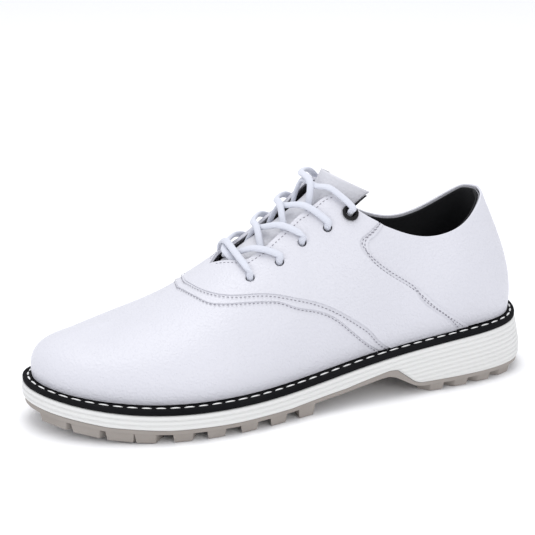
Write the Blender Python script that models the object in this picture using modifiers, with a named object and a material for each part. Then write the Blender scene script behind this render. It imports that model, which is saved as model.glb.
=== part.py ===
"""Golf shoe for the left foot: a white leather saddle upper on a stitched black welt,
a ribbed white midsole and a lugged grey outsole, held by one lace through ten holes.

Lengths below are in millimetres. A place on the shoe is (a, y, z): a runs forward from
the back of the heel, y to the inner (medial) side, z up from the ground. place() turns
that into the part's own frame in metres, with the toe towards -X.
The upper is one skin S(side, u, t): u runs along the welt from heel to toe, and t runs
from the welt up to the collar or to the ridge of the instep.
"""

import bmesh
import bpy
import numpy as np
from mathutils import Matrix, Vector

MM = 0.001
CENTRE_A = 149.9
CENTRE_Y = -3.3
LATERAL, MEDIAL = -1, 1
SIDES = (LATERAL, MEDIAL)
GAP = 0.3

# ---- sole sizes ----
# The outer edge of the welt as seen from above, from the heel round the outer side.
EDGE = [
    (6, 0), (9.5, -16), (18, -29), (32, -37), (56, -41.5), (88, -42.5), (122, -43.5),
    (156, -49), (190, -55.5), (220, -56), (247, -50), (271, -38), (289, -21.5), (297, -3),
    (294, 15), (281, 30), (260, 42.5), (232, 49.5), (200, 48), (165, 39), (128, 31),
    (92, 31), (56, 36), (32, 34.5), (18, 28), (9.5, 15.5),
]
EDGE_POINTS = 960
# Heights along the shoe, as (a, z).
MIDSOLE_TOP = [
    (0, 31.5), (30, 30.2), (60, 28.6), (95, 25), (130, 19.8), (165, 16.2), (200, 15.2),
    (235, 15.6), (265, 17.8), (290, 21.8), (305, 25),
]
MIDSOLE_BOTTOM = [
    (0, 6.8), (83, 6.8), (87, 8.2), (98, 16.6), (103, 16.8), (112, 14.8), (130, 11.2),
    (165, 7.6), (200, 7.0), (235, 7.4), (265, 9.8), (290, 14.0), (305, 17.2),
]
OUTSOLE_BOTTOM = [
    (0, 4.4), (82, 4.4), (87, 5.6), (100, 12.8), (105, 13.2), (113, 11.6), (130, 8.6),
    (165, 5.2), (200, 4.6), (235, 5.0), (265, 7.2), (290, 11.2), (305, 14.0),
]
TREAD = [(0, 0), (242, 0), (265, 2.0), (290, 6.4), (305, 9.6)]
HEEL_FLARE = 4.0
HEEL_FLARE_LENGTH = 58.0
MIDSOLE_BULGE = 0.6
OUTSOLE_INSET = 0.8
LUG_DEPTH = 10.0
LUG_TAPER = 1.3
LATERAL_LUGS = [247, 228, 210, 191, 173, 155]
MEDIAL_LUGS = [244, 225, 206, 187, 168, 150]
LUG_LENGTH = 11.0
TOE_LUGS = [(0.80, 0.845), (0.852, 0.90), (0.907, 0.96)]
HEEL_LUGS = [24, 40, 56, 72]
HEEL_LUG_LENGTH = 9.0
CENTRE_ROWS = [160, 179, 198, 217, 236, 255, 273]
CENTRE_PLACES = [-0.36, 0.0, 0.36]
HEEL_ROWS = [32, 50, 68]
CENTRE_LUG = (10.0, 8.0)

# ---- welt, seam thread and insole sizes ----
WELT_THICK = 3.3
WELT_UNDER = 3.0
THREAD_PLACE = 0.58
THREAD_RADIUS = 0.45
GROOVE_HALF = 0.8
GROOVE_DEPTH = 0.7
BOARD_THICK = 2.5
FOOTBED_THICK = 4.0
FOOTBED_HINGE = (286.8, 1.0, 24.3)
SHANK_START, SHANK_END = 72.0, 166.0
SHANK_HALF, SHANK_THICK = 7.0, 1.4

# ---- the skin of the upper ----
# u, then the top of the section: a, half-width of the collar, z; then the curve that
# rises from the welt: rise and outward lean at the bottom, reach and drop at the top.
SECTIONS = np.array([
    (0.00, 28.0, 0.0, 105.0, 26, 4.0, 8.0, 22),
    (0.06, 31.0, 10.0, 104.0, 25, 4.0, 8.0, 20),
    (0.12, 37.0, 17.0, 99.5, 24, 3.0, 7.5, 18),
    (0.19, 51.0, 24.0, 90.0, 21, 2.5, 6.0, 18),
    (0.26, 71.0, 24.5, 85.5, 19, 2.5, 6.0, 18),
    (0.33, 92.5, 24.5, 91.7, 20, 2.0, 9.0, 19),
    (0.385, 111.5, 21.0, 102.5, 24, 1.0, 14.0, 14),
    (0.43, 124.0, 11.0, 111.5, 28, 0.0, 16.0, 5),
    (0.48, 141.0, 0.0, 108.5, 30, 0.5, 18.0, 0),
    (0.55, 164.0, 0.0, 92.2, 28, 1.5, 20.0, 0),
    (0.62, 188.0, 0.0, 76.5, 26, 3.0, 23.0, 0),
    (0.70, 211.0, 0.0, 63.7, 22, 4.0, 27.0, 0),
    (0.80, 232.0, 0.0, 56.0, 21, 4.5, 26.0, 0),
    (0.90, 244.0, 0.0, 52.0, 21, 4.5, 28.0, 0),
    (1.00, 250.0, 0.0, 51.0, 20, 4.0, 26.0, 0),
])
RIDGE_Y = [
    (0, 0), (60, 0), (93, 3.5), (124, 7.5), (150, 8), (180, 5.5), (215, 4), (250, 4), (300, 4),
]
MEDIAL_LIFT = 4.0
MEDIAL_NARROWING = 0.28
LEAST_SPREAD = 22.0
FOOT_GAP = 0.5

# ---- seams on the skin, as (t, u), and the edge of the lacing opening, as (u, t) ----
VAMP_SEAM = [
    (0, 0.355), (0.12, 0.387), (0.21, 0.417), (0.28, 0.453), (0.34, 0.497), (0.43, 0.537),
    (0.51, 0.58), (0.58, 0.617), (0.65, 0.647), (0.76, 0.663), (0.91, 0.675), (1, 0.69),
]
SADDLE_SEAM = [
    (0, 0.335), (0.12, 0.362), (0.24, 0.397), (0.30, 0.44), (0.36, 0.483), (0.45, 0.53),
    (0.53, 0.567), (0.60, 0.603), (0.68, 0.633), (0.77, 0.65), (0.87, 0.657), (1, 0.672),
]
REAR_SADDLE_SEAM = [
    (0, 0.209), (0.17, 0.237), (0.40, 0.283), (0.56, 0.318), (0.635, 0.362), (0.68, 0.386),
    (0.72, 0.390), (0.83, 0.377), (1, 0.355),
]
QUARTER_SEAM = [
    (0, 0.184), (0.18, 0.223), (0.39, 0.263), (0.54, 0.298), (0.62, 0.335), (0.67, 0.362),
    (0.72, 0.374), (0.78, 0.374), (0.86, 0.363), (1, 0.347),
]
OPENING = [
    (0.0, 1.0), (0.415, 1.0), (0.43, 0.93), (0.45, 0.83), (0.467, 0.775), (0.497, 0.75),
    (0.547, 0.75), (0.575, 0.77), (0.59, 0.82), (0.605, 0.895), (0.626, 1.0), (1.0, 1.0),
]
SEAM_GAP_U = 0.0018
SHELF_T, SHELF_ROWS = 0.70, 0.75

# ---- layers of the upper: height of the outer face over the skin, and thickness ----
VAMP_LAYER = (0.0, 1.4)
BAND_LAYER = (0.6, 1.6)
SADDLE_LAYER = (1.2, 1.8)
BACKING_LAYER = (-1.7, 0.7)
STIFFENER_LAYER = (-2.0, 0.7)
LINING_LAYER = (-3.25, 0.7)
PADDING_LAYER = (-2.0, 0.7)

# ---- eyelets, lace and tongue ----
EYELETS = [(0.58, 0.65), (0.527, 0.61), (0.483, 0.62), (0.44, 0.68), (0.40, 0.89)]
HOLE_RADIUS = 2.5
TOP_HOLE_RADIUS = 3.5
RING_PROFILE = [
    (2.6, -1.2), (3.0, -1.2), (3.0, 2.0), (4.4, 2.0), (4.6, 2.4), (4.1, 2.9), (3.2, 2.9), (2.6, 2.3),
]
TOP_RING_RISE = 1.9
LACE_RADIUS = 1.2
AGLET_RADIUS = 1.7
AGLET_LENGTH = 20.0
# Stations of the tongue: crest of its outer face (a, y, z), arch radius, and its reach
# round the arch to the outer and to the inner side.
TONGUE = [
    (190, 5, 66.0, 14, 12, 12), (176, 5.5, 75.5, 14.5, 15, 15), (160, 5.7, 86.5, 14, 17, 16),
    (146, 5.6, 95.2, 12.0, 17.5, 12.8), (135, 5.8, 104.8, 11.5, 17.5, 12.8),
    (127.5, 6.4, 112.4, 11.0, 17.5, 12.6), (122, 5.8, 121.5, 12.2, 19, 14),
]
TONGUE_LEATHER = 1.1
TONGUE_PADDING = 2.6
TONGUE_HINGE = (190.0, 5.0, 64.0)


def material(name, colour, roughness, metallic=0.0):
    made = bpy.data.materials.new(name)
    made.use_nodes = True
    shader = made.node_tree.nodes["Principled BSDF"]
    shader.inputs["Base Color"].default_value = (*colour, 1)
    shader.inputs["Roughness"].default_value = roughness
    shader.inputs["Metallic"].default_value = metallic
    made.diffuse_color = (*colour, 1)
    return made


def place(points):
    """(a, y, z) in millimetres to the part's frame in metres."""
    points = np.asarray(points, float)
    moved = np.stack([CENTRE_A - points[..., 0], points[..., 1] - CENTRE_Y, points[..., 2]], -1)
    return moved * MM


def smooth_step(value, low, high):
    k = np.clip((np.asarray(value, float) - low) / (high - low), 0, 1)
    return k * k * (3 - 2 * k)


def spline(knots, values, at):
    """Natural cubic through the values, read at the given places."""
    knots = np.asarray(knots, float)
    values = np.asarray(values, float)
    rows = values.reshape(len(knots), -1)
    count = len(knots)
    step = np.diff(knots)
    matrix = np.eye(count)
    right = np.zeros((count, rows.shape[1]))
    for i in range(1, count - 1):
        matrix[i, i - 1 : i + 2] = step[i - 1], 2 * (step[i - 1] + step[i]), step[i]
        slopes = (rows[i + 1] - rows[i]) / step[i] - (rows[i] - rows[i - 1]) / step[i - 1]
        right[i] = 6 * slopes
    bend = np.linalg.solve(matrix, right)
    at = np.asarray(at, float)
    i = np.clip(np.searchsorted(knots, at) - 1, 0, count - 2)
    before = (knots[i + 1] - at)[..., None]
    after = (at - knots[i])[..., None]
    width = step[i][..., None]
    found = (bend[i] * before**3 + bend[i + 1] * after**3) / (6 * width)
    found = found + (rows[i] / width - bend[i] * width / 6) * before
    found = found + (rows[i + 1] / width - bend[i + 1] * width / 6) * after
    return found if values.ndim > 1 else found[..., 0]


def level(keys, a):
    """Height keys (a, z) read straight between the keys."""
    return np.interp(a, *zip(*keys))


def midsole_top(a):
    return spline(*zip(*MIDSOLE_TOP), a)


def welt_width(a):
    """How far the welt shows outside the upper."""
    return 4.3 + 2.4 * smooth_step(a, 8, 55) - 1.5 * smooth_step(a, 255, 292)


def closed_edge():
    """EDGE as a smooth closed line, with its inward normals."""
    points = np.array(EDGE, float)
    count = len(points)
    looped = np.vstack([points[-4:], points, points[:5]])
    lengths = np.linalg.norm(np.diff(looped, axis=0), axis=1)
    run = np.concatenate([[0], np.cumsum(lengths)])
    at = np.linspace(run[4], run[4 + count], EDGE_POINTS, endpoint=False)
    line = spline(run, looped, at)
    along = np.roll(line, -1, 0) - np.roll(line, 1, 0)
    along /= np.linalg.norm(along, axis=1)[:, None]
    return line, np.stack([-along[:, 1], along[:, 0]], 1)


EDGE_LINE, EDGE_INWARD = closed_edge()


def inset_line(inset, flare=0.0):
    """The edge moved inwards, and its heel moved back by the flare."""
    moved = EDGE_LINE + EDGE_INWARD * np.broadcast_to(inset, EDGE_POINTS)[:, None]
    back = flare * (1 - smooth_step(moved[:, 0], 0, HEEL_FLARE_LENGTH))
    return moved - np.stack([back, np.zeros(EDGE_POINTS)], 1)


def half_line(line, side):
    """One side of a closed line, from heel to toe."""
    tip = int(np.argmax(line[:, 0]))
    if side == LATERAL:
        return line[: tip + 1]
    return np.vstack([line[:1], line[: tip - 1 : -1]])


def along(line, share):
    """Points at these shares of the length of a line."""
    lengths = np.linalg.norm(np.diff(line, axis=0), axis=1)
    run = np.concatenate([[0], np.cumsum(lengths)])
    run /= run[-1]
    return np.stack([np.interp(share, run, line[:, k]) for k in range(line.shape[1])], -1)


def skin(side, u, t):
    """Points of the upper's skin."""
    u, t = np.broadcast_arrays(np.asarray(u, float), np.asarray(t, float))
    edge = half_line(inset_line(welt_width(EDGE_LINE[:, 0])), side)
    foot = along(edge, u)
    foot = np.concatenate([foot, (midsole_top(foot[..., 0]) + WELT_THICK + FOOT_GAP)[..., None]], -1)
    a, half, z, rise, lean, reach, drop = np.moveaxis(spline(SECTIONS[:, 0], SECTIONS[:, 1:], u), -1, 0)
    half = np.maximum(half, 0) * (1 - smooth_step(u, 0.47, 0.485))
    if side == MEDIAL:
        z = z + MEDIAL_LIFT * smooth_step(a, 85, 125) * smooth_step(half, 0, 12)
        half = half * (1 - MEDIAL_NARROWING * smooth_step(a, 75, 115))
    top = np.stack([a, spline(*zip(*RIDGE_Y), a) + side * half, z], -1)
    down = (foot - top) * (1, 1, 0)
    spread = LEAST_SPREAD * smooth_step(u, 0.2, 0.3) * (1 - smooth_step(u, 0.5, 0.6))
    spread = np.where(spread > 0, spread, side * down[..., 1])
    down[..., 1] = side * np.maximum(side * down[..., 1], spread)
    down /= np.linalg.norm(down, axis=-1)[..., None]
    up = np.array((0, 0, 1.0))
    rise_point = foot + up * rise[..., None] + down * lean[..., None]
    tip = down + up * (ridge_slope(u) * down[..., 0])[..., None]
    reach_point = top + tip * reach[..., None] - up * drop[..., None]
    t = t[..., None]
    return (
        foot * (1 - t) ** 3
        + rise_point * 3 * t * (1 - t) ** 2
        + reach_point * 3 * t**2 * (1 - t)
        + top * t**3
    )


def ridge_slope(u):
    """Slope of the instep's ridge, blended in ahead of the collar."""
    ahead = spline(SECTIONS[:, 0], SECTIONS[:, [1, 3]], u + 0.01)
    behind = spline(SECTIONS[:, 0], SECTIONS[:, [1, 3]], u - 0.01)
    run = np.maximum(ahead[..., 0] - behind[..., 0], 0.2)
    return (ahead[..., 1] - behind[..., 1]) / run * smooth_step(u, 0.46, 0.52)


def skin_normal(side, u, t):
    """Outward normals of the skin. Where the two sides meet they share one normal."""
    u, t = np.broadcast_arrays(np.asarray(u, float), np.asarray(t, float))
    step = 0.002
    inside = np.minimum(t, 1 - step)
    across = skin(side, np.minimum(u + step, 1), inside) - skin(side, np.maximum(u - step, 0), inside)
    upward = skin(side, u, inside + step / 2) - skin(side, u, np.maximum(inside - step / 2, 0))
    normal = np.cross(upward, across) * side
    normal /= np.linalg.norm(normal, axis=-1)[..., None]
    slope = ridge_slope(u)
    crest = np.stack([-slope, 0 * slope, 1 + 0 * slope], -1)
    crest /= np.linalg.norm(crest, axis=-1)[..., None]
    share = (smooth_step(t, 0.97, 1.0) * smooth_step(u, 0.47, 0.52))[..., None]
    normal = normal * (1 - share) + crest * share
    # At the middle of the heel and of the toe the two sides meet in one section.
    down = (skin(side, u, 0 * t) - skin(side, u, 0 * t + 1)) * (1, 1, 0)
    sideways = np.cross(down / np.linalg.norm(down, axis=-1)[..., None], (0, 0, 1.0))
    ends = 1 - smooth_step(u, 0.0, 0.01) + smooth_step(u, 0.99, 1.0)
    tilt = (normal * sideways).sum(-1) * ends
    normal = normal - sideways * tilt[..., None]
    return normal / np.linalg.norm(normal, axis=-1)[..., None]


def over_skin(side, u, t, height):
    return skin(side, u, t) + skin_normal(side, u, t) * height


def seam(keys, t):
    return spline(*zip(*keys), t)


def opening(u):
    return np.interp(u, *zip(*OPENING))


def patch(side, u_from, u_to, columns, rows, t_from=None, t_to=None, crowding=1.0, shelf=0.0):
    """A grid of (u, t) between two seams. t_from and t_to are functions of u. Crowding over 1
    sets the columns closer towards the toe. Below the shelf the rows keep to even t."""
    share = (1 - (1 - np.linspace(0, 1, columns + 1)) ** crowding)[None, :]
    height = np.linspace(0, 1, rows + 1)[:, None]
    upper = np.maximum(height - SHELF_ROWS, 0) / (1 - SHELF_ROWS)
    lower = np.minimum(height, SHELF_ROWS) / SHELF_ROWS
    low = t_from or (lambda u: 0 * u)
    high = t_to or (lambda u: 0 * u + 1)
    t = height + 0 * share
    for _ in range(60):
        u = u_from(t) * (1 - share) + u_to(t) * share
        found = low(u) + (high(u) - low(u)) * height
        if shelf:
            found = shelf * lower + (high(u) - shelf) * upper
        t = t * 0.7 + found * 0.3
    return side, u, t


def link(obj, group, paint):
    group.objects.link(obj)
    if paint:
        obj.data.materials.append(paint)
    return obj


def mesh_object(name, points, faces, group, paint, merge=1e-6, rounded=True):
    """An object from points in metres, with equal points made one and faces turned out."""
    made = bmesh.new()
    corners = [made.verts.new(point) for point in points]
    for face in faces:
        if len(set(face)) > 2:
            made.faces.new([corners[i] for i in face])
    bmesh.ops.remove_doubles(made, verts=made.verts, dist=merge)
    bmesh.ops.dissolve_degenerate(made, edges=made.edges, dist=merge)
    bmesh.ops.recalc_face_normals(made, faces=made.faces)
    mesh = bpy.data.meshes.new(name)
    made.to_mesh(mesh)
    made.free()
    mesh.polygons.foreach_set("use_smooth", [rounded] * len(mesh.polygons))
    return link(bpy.data.objects.new(name, mesh), group, paint)


def grid_faces(rows, columns, start=0):
    faces = []
    for i in range(rows - 1):
        for j in range(columns - 1):
            k = start + i * columns + j
            faces.append((k, k + 1, k + columns + 1, k + columns))
    return faces


def sheet(name, patches, layer, group, paint):
    """A leather or cloth piece: patches of the skin lifted by the layer's height, then
    thickened inwards."""
    height, thickness = layer
    made = bmesh.new()
    for side, u, t in patches:
        points = place(over_skin(side, u, t, height))
        rows, columns = u.shape
        corners = [made.verts.new(point) for point in points.reshape(-1, 3)]
        for face in grid_faces(rows, columns):
            ring = [corners[i] for i in face]
            made.faces.new(ring if side == MEDIAL else ring[::-1])
    bmesh.ops.remove_doubles(made, verts=made.verts, dist=2e-5)
    bmesh.ops.dissolve_degenerate(made, edges=made.edges, dist=1e-5)
    mesh = bpy.data.meshes.new(name)
    made.to_mesh(mesh)
    made.free()
    mesh.polygons.foreach_set("use_smooth", [True] * len(mesh.polygons))
    obj = link(bpy.data.objects.new(name, mesh), group, paint)
    thicken = obj.modifiers.new("Thickness", "SOLIDIFY")
    thicken.thickness = thickness * MM
    thicken.offset = -1
    return obj


def plate_rows(extra):
    """Places along the sole for a plate's rows: close at heel and toe, and at the keys."""
    share = (1 - np.cos(np.linspace(0, np.pi, 27))) / 2
    rows = list(6 + 291 * share) + list(extra)
    rows.sort()
    kept = [rows[0]]
    for a in rows[1:]:
        if a - kept[-1] > 1.5 or a in extra:
            kept.append(a)
    kept[-1] = rows[-1]
    return np.array(kept)


def plate(name, levels, group, paint, extra=(), columns=5):
    """A solid whose levels, from top to bottom, are (line, height function) pairs. The first
    and last are capped, and those between only shape the side wall."""
    rows = plate_rows(extra)
    share = np.linspace(0, 1, columns)[None, :]
    grids = []
    for line, height in levels:
        low, high = line[:, 0].min(), line[:, 0].max()
        places = np.interp(rows, [rows[0], 66, 230, rows[-1]], [low, 66, 230, high])
        edges = []
        for side in SIDES:
            half = half_line(line, side)
            edges.append(np.interp(places, np.maximum.accumulate(half[:, 0]), half[:, 1]))
        edges[0][[0, -1]] = edges[1][[0, -1]] = (edges[0][[0, -1]] + edges[1][[0, -1]]) / 2
        across = edges[0][:, None] * (1 - share) + edges[1][:, None] * share
        forward = places[:, None] + 0 * share
        grids.append(np.stack([forward, across, height(forward)], -1))
    count = len(rows) * columns
    points = place(np.concatenate([grid.reshape(-1, 3) for grid in grids]))
    last = (len(grids) - 1) * count
    faces = grid_faces(len(rows), columns) + grid_faces(len(rows), columns, last)
    for k in range(len(grids) - 1):
        for i in range(len(rows) - 1):
            for j in (0, columns - 1):
                a, b = k * count + i * columns + j, k * count + (i + 1) * columns + j
                faces.append((a, b, b + count, a + count))
    used = sorted({i for face in faces for i in face})
    order = {old: new for new, old in enumerate(used)}
    return mesh_object(name, points[used], [tuple(order[i] for i in face) for face in faces], group, paint)


def ring(name, profile, group, paint, stations=84):
    """A closed band round the shoe with the profile (inset, height over the midsole)."""
    pick = np.linspace(0, EDGE_POINTS, stations, endpoint=False).astype(int)
    width = welt_width(EDGE_LINE[pick, 0])
    points = []
    for inset, height in profile(width):
        flat = EDGE_LINE[pick] + EDGE_INWARD[pick] * np.broadcast_to(inset, len(pick))[:, None]
        points.append(np.column_stack([flat, midsole_top(flat[:, 0]) + height]))
    points = place(np.stack(points, 1))
    sides = points.shape[1]
    faces = []
    for i in range(stations):
        for j in range(sides):
            k, m = (j + 1) % sides, (i + 1) % stations
            faces.append((i * sides + j, i * sides + k, m * sides + k, m * sides + j))
    return mesh_object(name, points.reshape(-1, 3), faces, group, paint)


def tube(name, points, radius, group, paint):
    curve = bpy.data.curves.new(name, "CURVE")
    curve.dimensions = "3D"
    curve.bevel_depth = radius * MM
    curve.bevel_resolution = 2
    curve.use_fill_caps = True
    spline_made = curve.splines.new("POLY")
    spline_made.points.add(len(points) - 1)
    for point, xyz in zip(spline_made.points, place(points)):
        point.co = (*xyz, 1)
    return link(bpy.data.objects.new(name, curve), group, paint)


def boolean(obj, other, operation):
    cut = obj.modifiers.new(other.name, "BOOLEAN")
    cut.operation = operation
    cut.solver = "EXACT"
    cut.object = other


def helper(obj):
    obj.hide_render = True
    obj.display_type = "WIRE"
    return obj


def prism(top, bottom):
    """Corners and faces of a block between two four-cornered ends."""
    points = list(top) + list(bottom)
    faces = [(0, 1, 2, 3), (7, 6, 5, 4), (0, 4, 5, 1), (1, 5, 6, 2), (2, 6, 7, 3), (3, 7, 4, 0)]
    return points, faces


def block(corners, taper):
    """A lug: its corners seen from above, sunk into the outsole and tapered to the tread."""
    corners = np.asarray(corners, float)
    middle = corners.mean(0)
    pull = middle - corners
    lower = corners + pull / np.linalg.norm(pull, axis=1)[:, None] * taper
    sunk = level(OUTSOLE_BOTTOM, corners[:, 0]) + 0.7
    tread = level(TREAD, lower[:, 0])
    return prism(np.column_stack([corners, sunk]), np.column_stack([lower, tread]))


def lug_blocks():
    """Every lug of the outsole, none touching another."""
    line = inset_line(OUTSOLE_INSET + 0.3, HEEL_FLARE)
    blocks = []

    def edge_lug(side, start, end, depth):
        outer = half_line(line, side)
        inner = half_line(inset_line(OUTSOLE_INSET + 0.3 + depth, HEEL_FLARE), side)
        ends = [along(outer, start), along(outer, end), along(inner, end), along(inner, start)]
        blocks.append(block(ends, LUG_TAPER))

    def share_of(side, a):
        half = half_line(line, side)
        lengths = np.linalg.norm(np.diff(half, axis=0), axis=1)
        run = np.concatenate([[0], np.cumsum(lengths)])
        return np.interp(a, np.maximum.accumulate(half[:, 0]), run / run[-1])

    for side, places in ((LATERAL, LATERAL_LUGS), (MEDIAL, MEDIAL_LUGS)):
        for a in places:
            half_length = LUG_LENGTH / 2
            edge_lug(side, share_of(side, a - half_length), share_of(side, a + half_length), LUG_DEPTH)
        for a in HEEL_LUGS:
            half_length = HEEL_LUG_LENGTH / 2
            edge_lug(side, share_of(side, a - half_length), share_of(side, a + half_length), LUG_DEPTH - 2)
        for start, end in TOE_LUGS:
            edge_lug(side, start, end, LUG_DEPTH - 1)
    long, wide = CENTRE_LUG
    for a in CENTRE_ROWS + HEEL_ROWS:
        inner = [half_line(inset_line(16.0, HEEL_FLARE), side) for side in SIDES]
        low, high = (np.interp(a, np.maximum.accumulate(half[:, 0]), half[:, 1]) for half in inner)
        places = CENTRE_PLACES if high - low > 40 and a > 100 else [0.0]
        for share in places:
            y = (low + high) / 2 + share * (high - low)
            corners = [
                (a - long / 2, y), (a, y - wide / 2), (a + long / 2, y), (a, y + wide / 2),
            ]
            blocks.append(block(corners, LUG_TAPER))
    return blocks


def joined(name, pieces, group):
    points, faces = [], []
    for piece_points, piece_faces in pieces:
        start = len(points)
        points.extend(piece_points)
        faces.extend(tuple(start + i for i in face) for face in piece_faces)
    return mesh_object(name, place(points), faces, group, None, rounded=False)


def lathe(name, profile, side, u, t, group, paint, segments=20):
    """A turned ring standing on the skin at (u, t): profile is (radius, height over the skin)."""
    centre = skin(side, u, t)
    axis = skin_normal(side, u, t)
    first = np.cross(axis, (0, 0, 1.0))
    first /= np.linalg.norm(first)
    second = np.cross(axis, first)
    points, faces = [], []
    count = len(profile)
    for i in range(segments):
        angle = 2 * np.pi * i / segments
        out = first * np.cos(angle) + second * np.sin(angle)
        points.extend(centre + out * radius + axis * height for radius, height in profile)
        for j in range(count):
            k, m = (j + 1) % count, (i + 1) % segments
            faces.append((i * count + j, i * count + k, m * count + k, m * count + j))
    return mesh_object(name, place(points), faces, group, paint)


def punch(name, side, radii, group):
    """The punches that make one side's lace holes."""
    pieces = []
    segments = 12
    for (u, t), radius in zip(EYELETS, radii):
        centre = skin(side, u, t)
        axis = skin_normal(side, u, t)
        first = np.cross(axis, (0, 0, 1.0))
        first /= np.linalg.norm(first)
        second = np.cross(axis, first)
        points, faces = [], []
        for height in (-6.0, 6.0):
            for i in range(segments):
                angle = 2 * np.pi * i / segments
                out = first * np.cos(angle) + second * np.sin(angle)
                points.append(centre + out * radius + axis * height)
        for i in range(segments):
            k = (i + 1) % segments
            faces.append((i, k, segments + k, segments + i))
        faces.append(tuple(range(segments)))
        faces.append(tuple(range(2 * segments - 1, segments - 1, -1)))
        pieces.append((points, faces))
    return helper(joined(name, pieces, group))


def lace_route():
    """The whole cord: from one tucked end, up through the holes, to the other tucked end."""
    over = SADDLE_LAYER[0] + 0.7 + LACE_RADIUS
    under = BACKING_LAYER[0] - BACKING_LAYER[1] - 0.75 - LACE_RADIUS
    levels = len(EYELETS)

    def hole(side, i, height, toward=0.0):
        u, t = EYELETS[i]
        return over_skin(side, u, t + toward, height)

    def crossing(side, i):
        """From inside hole i on one side, over the tongue, into hole i + 1 on the other. The
        strand that starts on the outer side runs over the other one."""
        u, t = EYELETS[i]
        next_u, next_t = EYELETS[i + 1]
        edge_u = u + (next_u - u) * 0.30
        ridge_u = u + (next_u - u) * 0.56
        ridge_t, facing_t = 0.93, float(opening(next_u)) + 0.01
        tall, above = 0.0, over
        if i + 2 == levels:
            edge_u, ridge_u, ridge_t, facing_t = 0.437, 0.440, 0.985, 0.97
            tall, above = 4.2, over + TOP_RING_RISE
        climb = 1.4
        if side == LATERAL:
            tall += 2 * LACE_RADIUS + 0.7
            climb = 0.4
        return [
            hole(side, i, under + 1.2),
            over_skin(side, u - 0.004, t + 0.05, under - 0.1),
            over_skin(side, edge_u, opening(edge_u) - 0.02, under),
            over_skin(side, ridge_u, ridge_t, tall - climb),
            over_skin(-side, ridge_u - 0.010, ridge_t, tall),
            over_skin(-side, next_u + 0.012, facing_t, above + 0.3),
            hole(-side, i + 1, above + 0.1, 0.04),
            hole(-side, i + 1, above - 1.7, -0.006),
        ]

    def strand(first_side):
        points, side = [], first_side
        for i in range(levels - 1):
            points += crossing(side, i)
            side = -side
        top_u, top_t = EYELETS[-1]
        tail = [
            hole(side, levels - 1, -1.8, -0.006),
            over_skin(side, top_u, top_t - 0.04, under - 0.2),
            over_skin(side, top_u + 0.004, top_t - 0.14, under - 1.0),
            over_skin(side, top_u + 0.025, 0.50, under - 2.8),
            over_skin(side, 0.52, 0.40, under - 2.8),
            over_skin(side, 0.60, 0.42, under - 2.8),
            over_skin(side, 0.69, 0.44, under - 3.0),
            over_skin(side, 0.715, 0.405, under - 3.2),
            over_skin(side, 0.72, 0.35, under - 3.5),
            over_skin(side, 0.69, 0.30, under - 3.8),
            over_skin(side, 0.56, 0.27, under - 3.4),
        ]
        return points + tail, side

    first, first_end = strand(LATERAL)
    second, second_end = strand(MEDIAL)
    bar = [
        hole(LATERAL, 0, over - 1.7, -0.006),
        hole(LATERAL, 0, over + 0.2, 0.04),
        over_skin(LATERAL, EYELETS[0][0] + 0.008, 0.86, over + 1.0),
        over_skin(MEDIAL, EYELETS[0][0] + 0.008, 0.97, over + 1.4),
        over_skin(MEDIAL, EYELETS[0][0] + 0.004, 0.80, over + 0.8),
        hole(MEDIAL, 0, over + 0.2, 0.04),
        hole(MEDIAL, 0, over - 1.7, -0.006),
    ]
    whole = first[::-1] + bar + second
    return np.array([np.asarray(point, float) for point in whole]), first_end, second_end


def tongue_piece(name, outer, thickness, trim, group, paint):
    """The tongue arched over the instep, between two depths under its outer face."""
    keys = np.array(TONGUE, float)
    knots = np.linspace(0, 1, len(keys))
    at = np.linspace(0, 1, 12)
    stations = spline(knots, keys, at)
    slope = np.gradient(stations[:, [0, 2]], axis=0)
    slope /= np.linalg.norm(slope, axis=1)[:, None]
    normal = np.stack([-slope[:, 1], 0 * slope[:, 0], slope[:, 0]], 1)
    normal *= np.sign(normal[:, 2:])
    angles = np.linspace(-1, 1, 11)
    layers = []
    for depth in (outer, outer + thickness):
        rows = []
        for (a, y, z, radius, outer_reach, inner_reach), out in zip(stations, normal):
            turn = np.where(angles < 0, angles * (outer_reach - trim), angles * (inner_reach - trim)) / radius
            reach = radius - depth
            side = np.array((0, 1.0, 0))
            centre = np.array((a, y, z)) - out * radius
            rows.append(centre + np.outer(np.cos(turn) * reach, out) + np.outer(np.sin(turn) * reach, side))
        layers.append(np.array(rows))
    rows, columns = layers[0].shape[:2]
    count = rows * columns
    faces = grid_faces(rows, columns) + grid_faces(rows, columns, count)
    for i in range(rows - 1):
        for j in (0, columns - 1):
            a = i * columns + j
            faces.append((a, a + columns, a + columns + count, a + count))
    for j in range(columns - 1):
        for i in (0, rows - 1):
            a = i * columns + j
            faces.append((a, a + 1, a + 1 + count, a + count))
    points = place(np.concatenate([layer.reshape(-1, 3) for layer in layers]))
    return mesh_object(name, points, faces, group, paint)


def bar(name, start, end, half, depth_top, depth_bottom, group, paint):
    """A flat strip along the middle of the sole, following the top of the midsole."""
    places = np.linspace(start, end, 14)
    points, faces = [], []
    for a in places:
        top = float(midsole_top(a))
        middle = -4.0
        for y, z in ((-half, depth_top), (half, depth_top), (half, depth_bottom), (-half, depth_bottom)):
            points.append((a, middle + y, top - z))
    for i in range(len(places) - 1):
        for j in range(4):
            k = (j + 1) % 4
            faces.append((i * 4 + j, i * 4 + k, (i + 1) * 4 + k, (i + 1) * 4 + j))
    faces.append((0, 1, 2, 3))
    end_start = (len(places) - 1) * 4
    faces.append((end_start + 3, end_start + 2, end_start + 1, end_start))
    return mesh_object(name, place(points), faces, group, paint, rounded=False)


def set_origin(obj, point):
    """Moves an object's origin to a point of the shoe, leaving its mesh where it is."""
    target = Vector(place(point))
    obj.data.transform(Matrix.Translation(-target))
    obj.location = target


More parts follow.
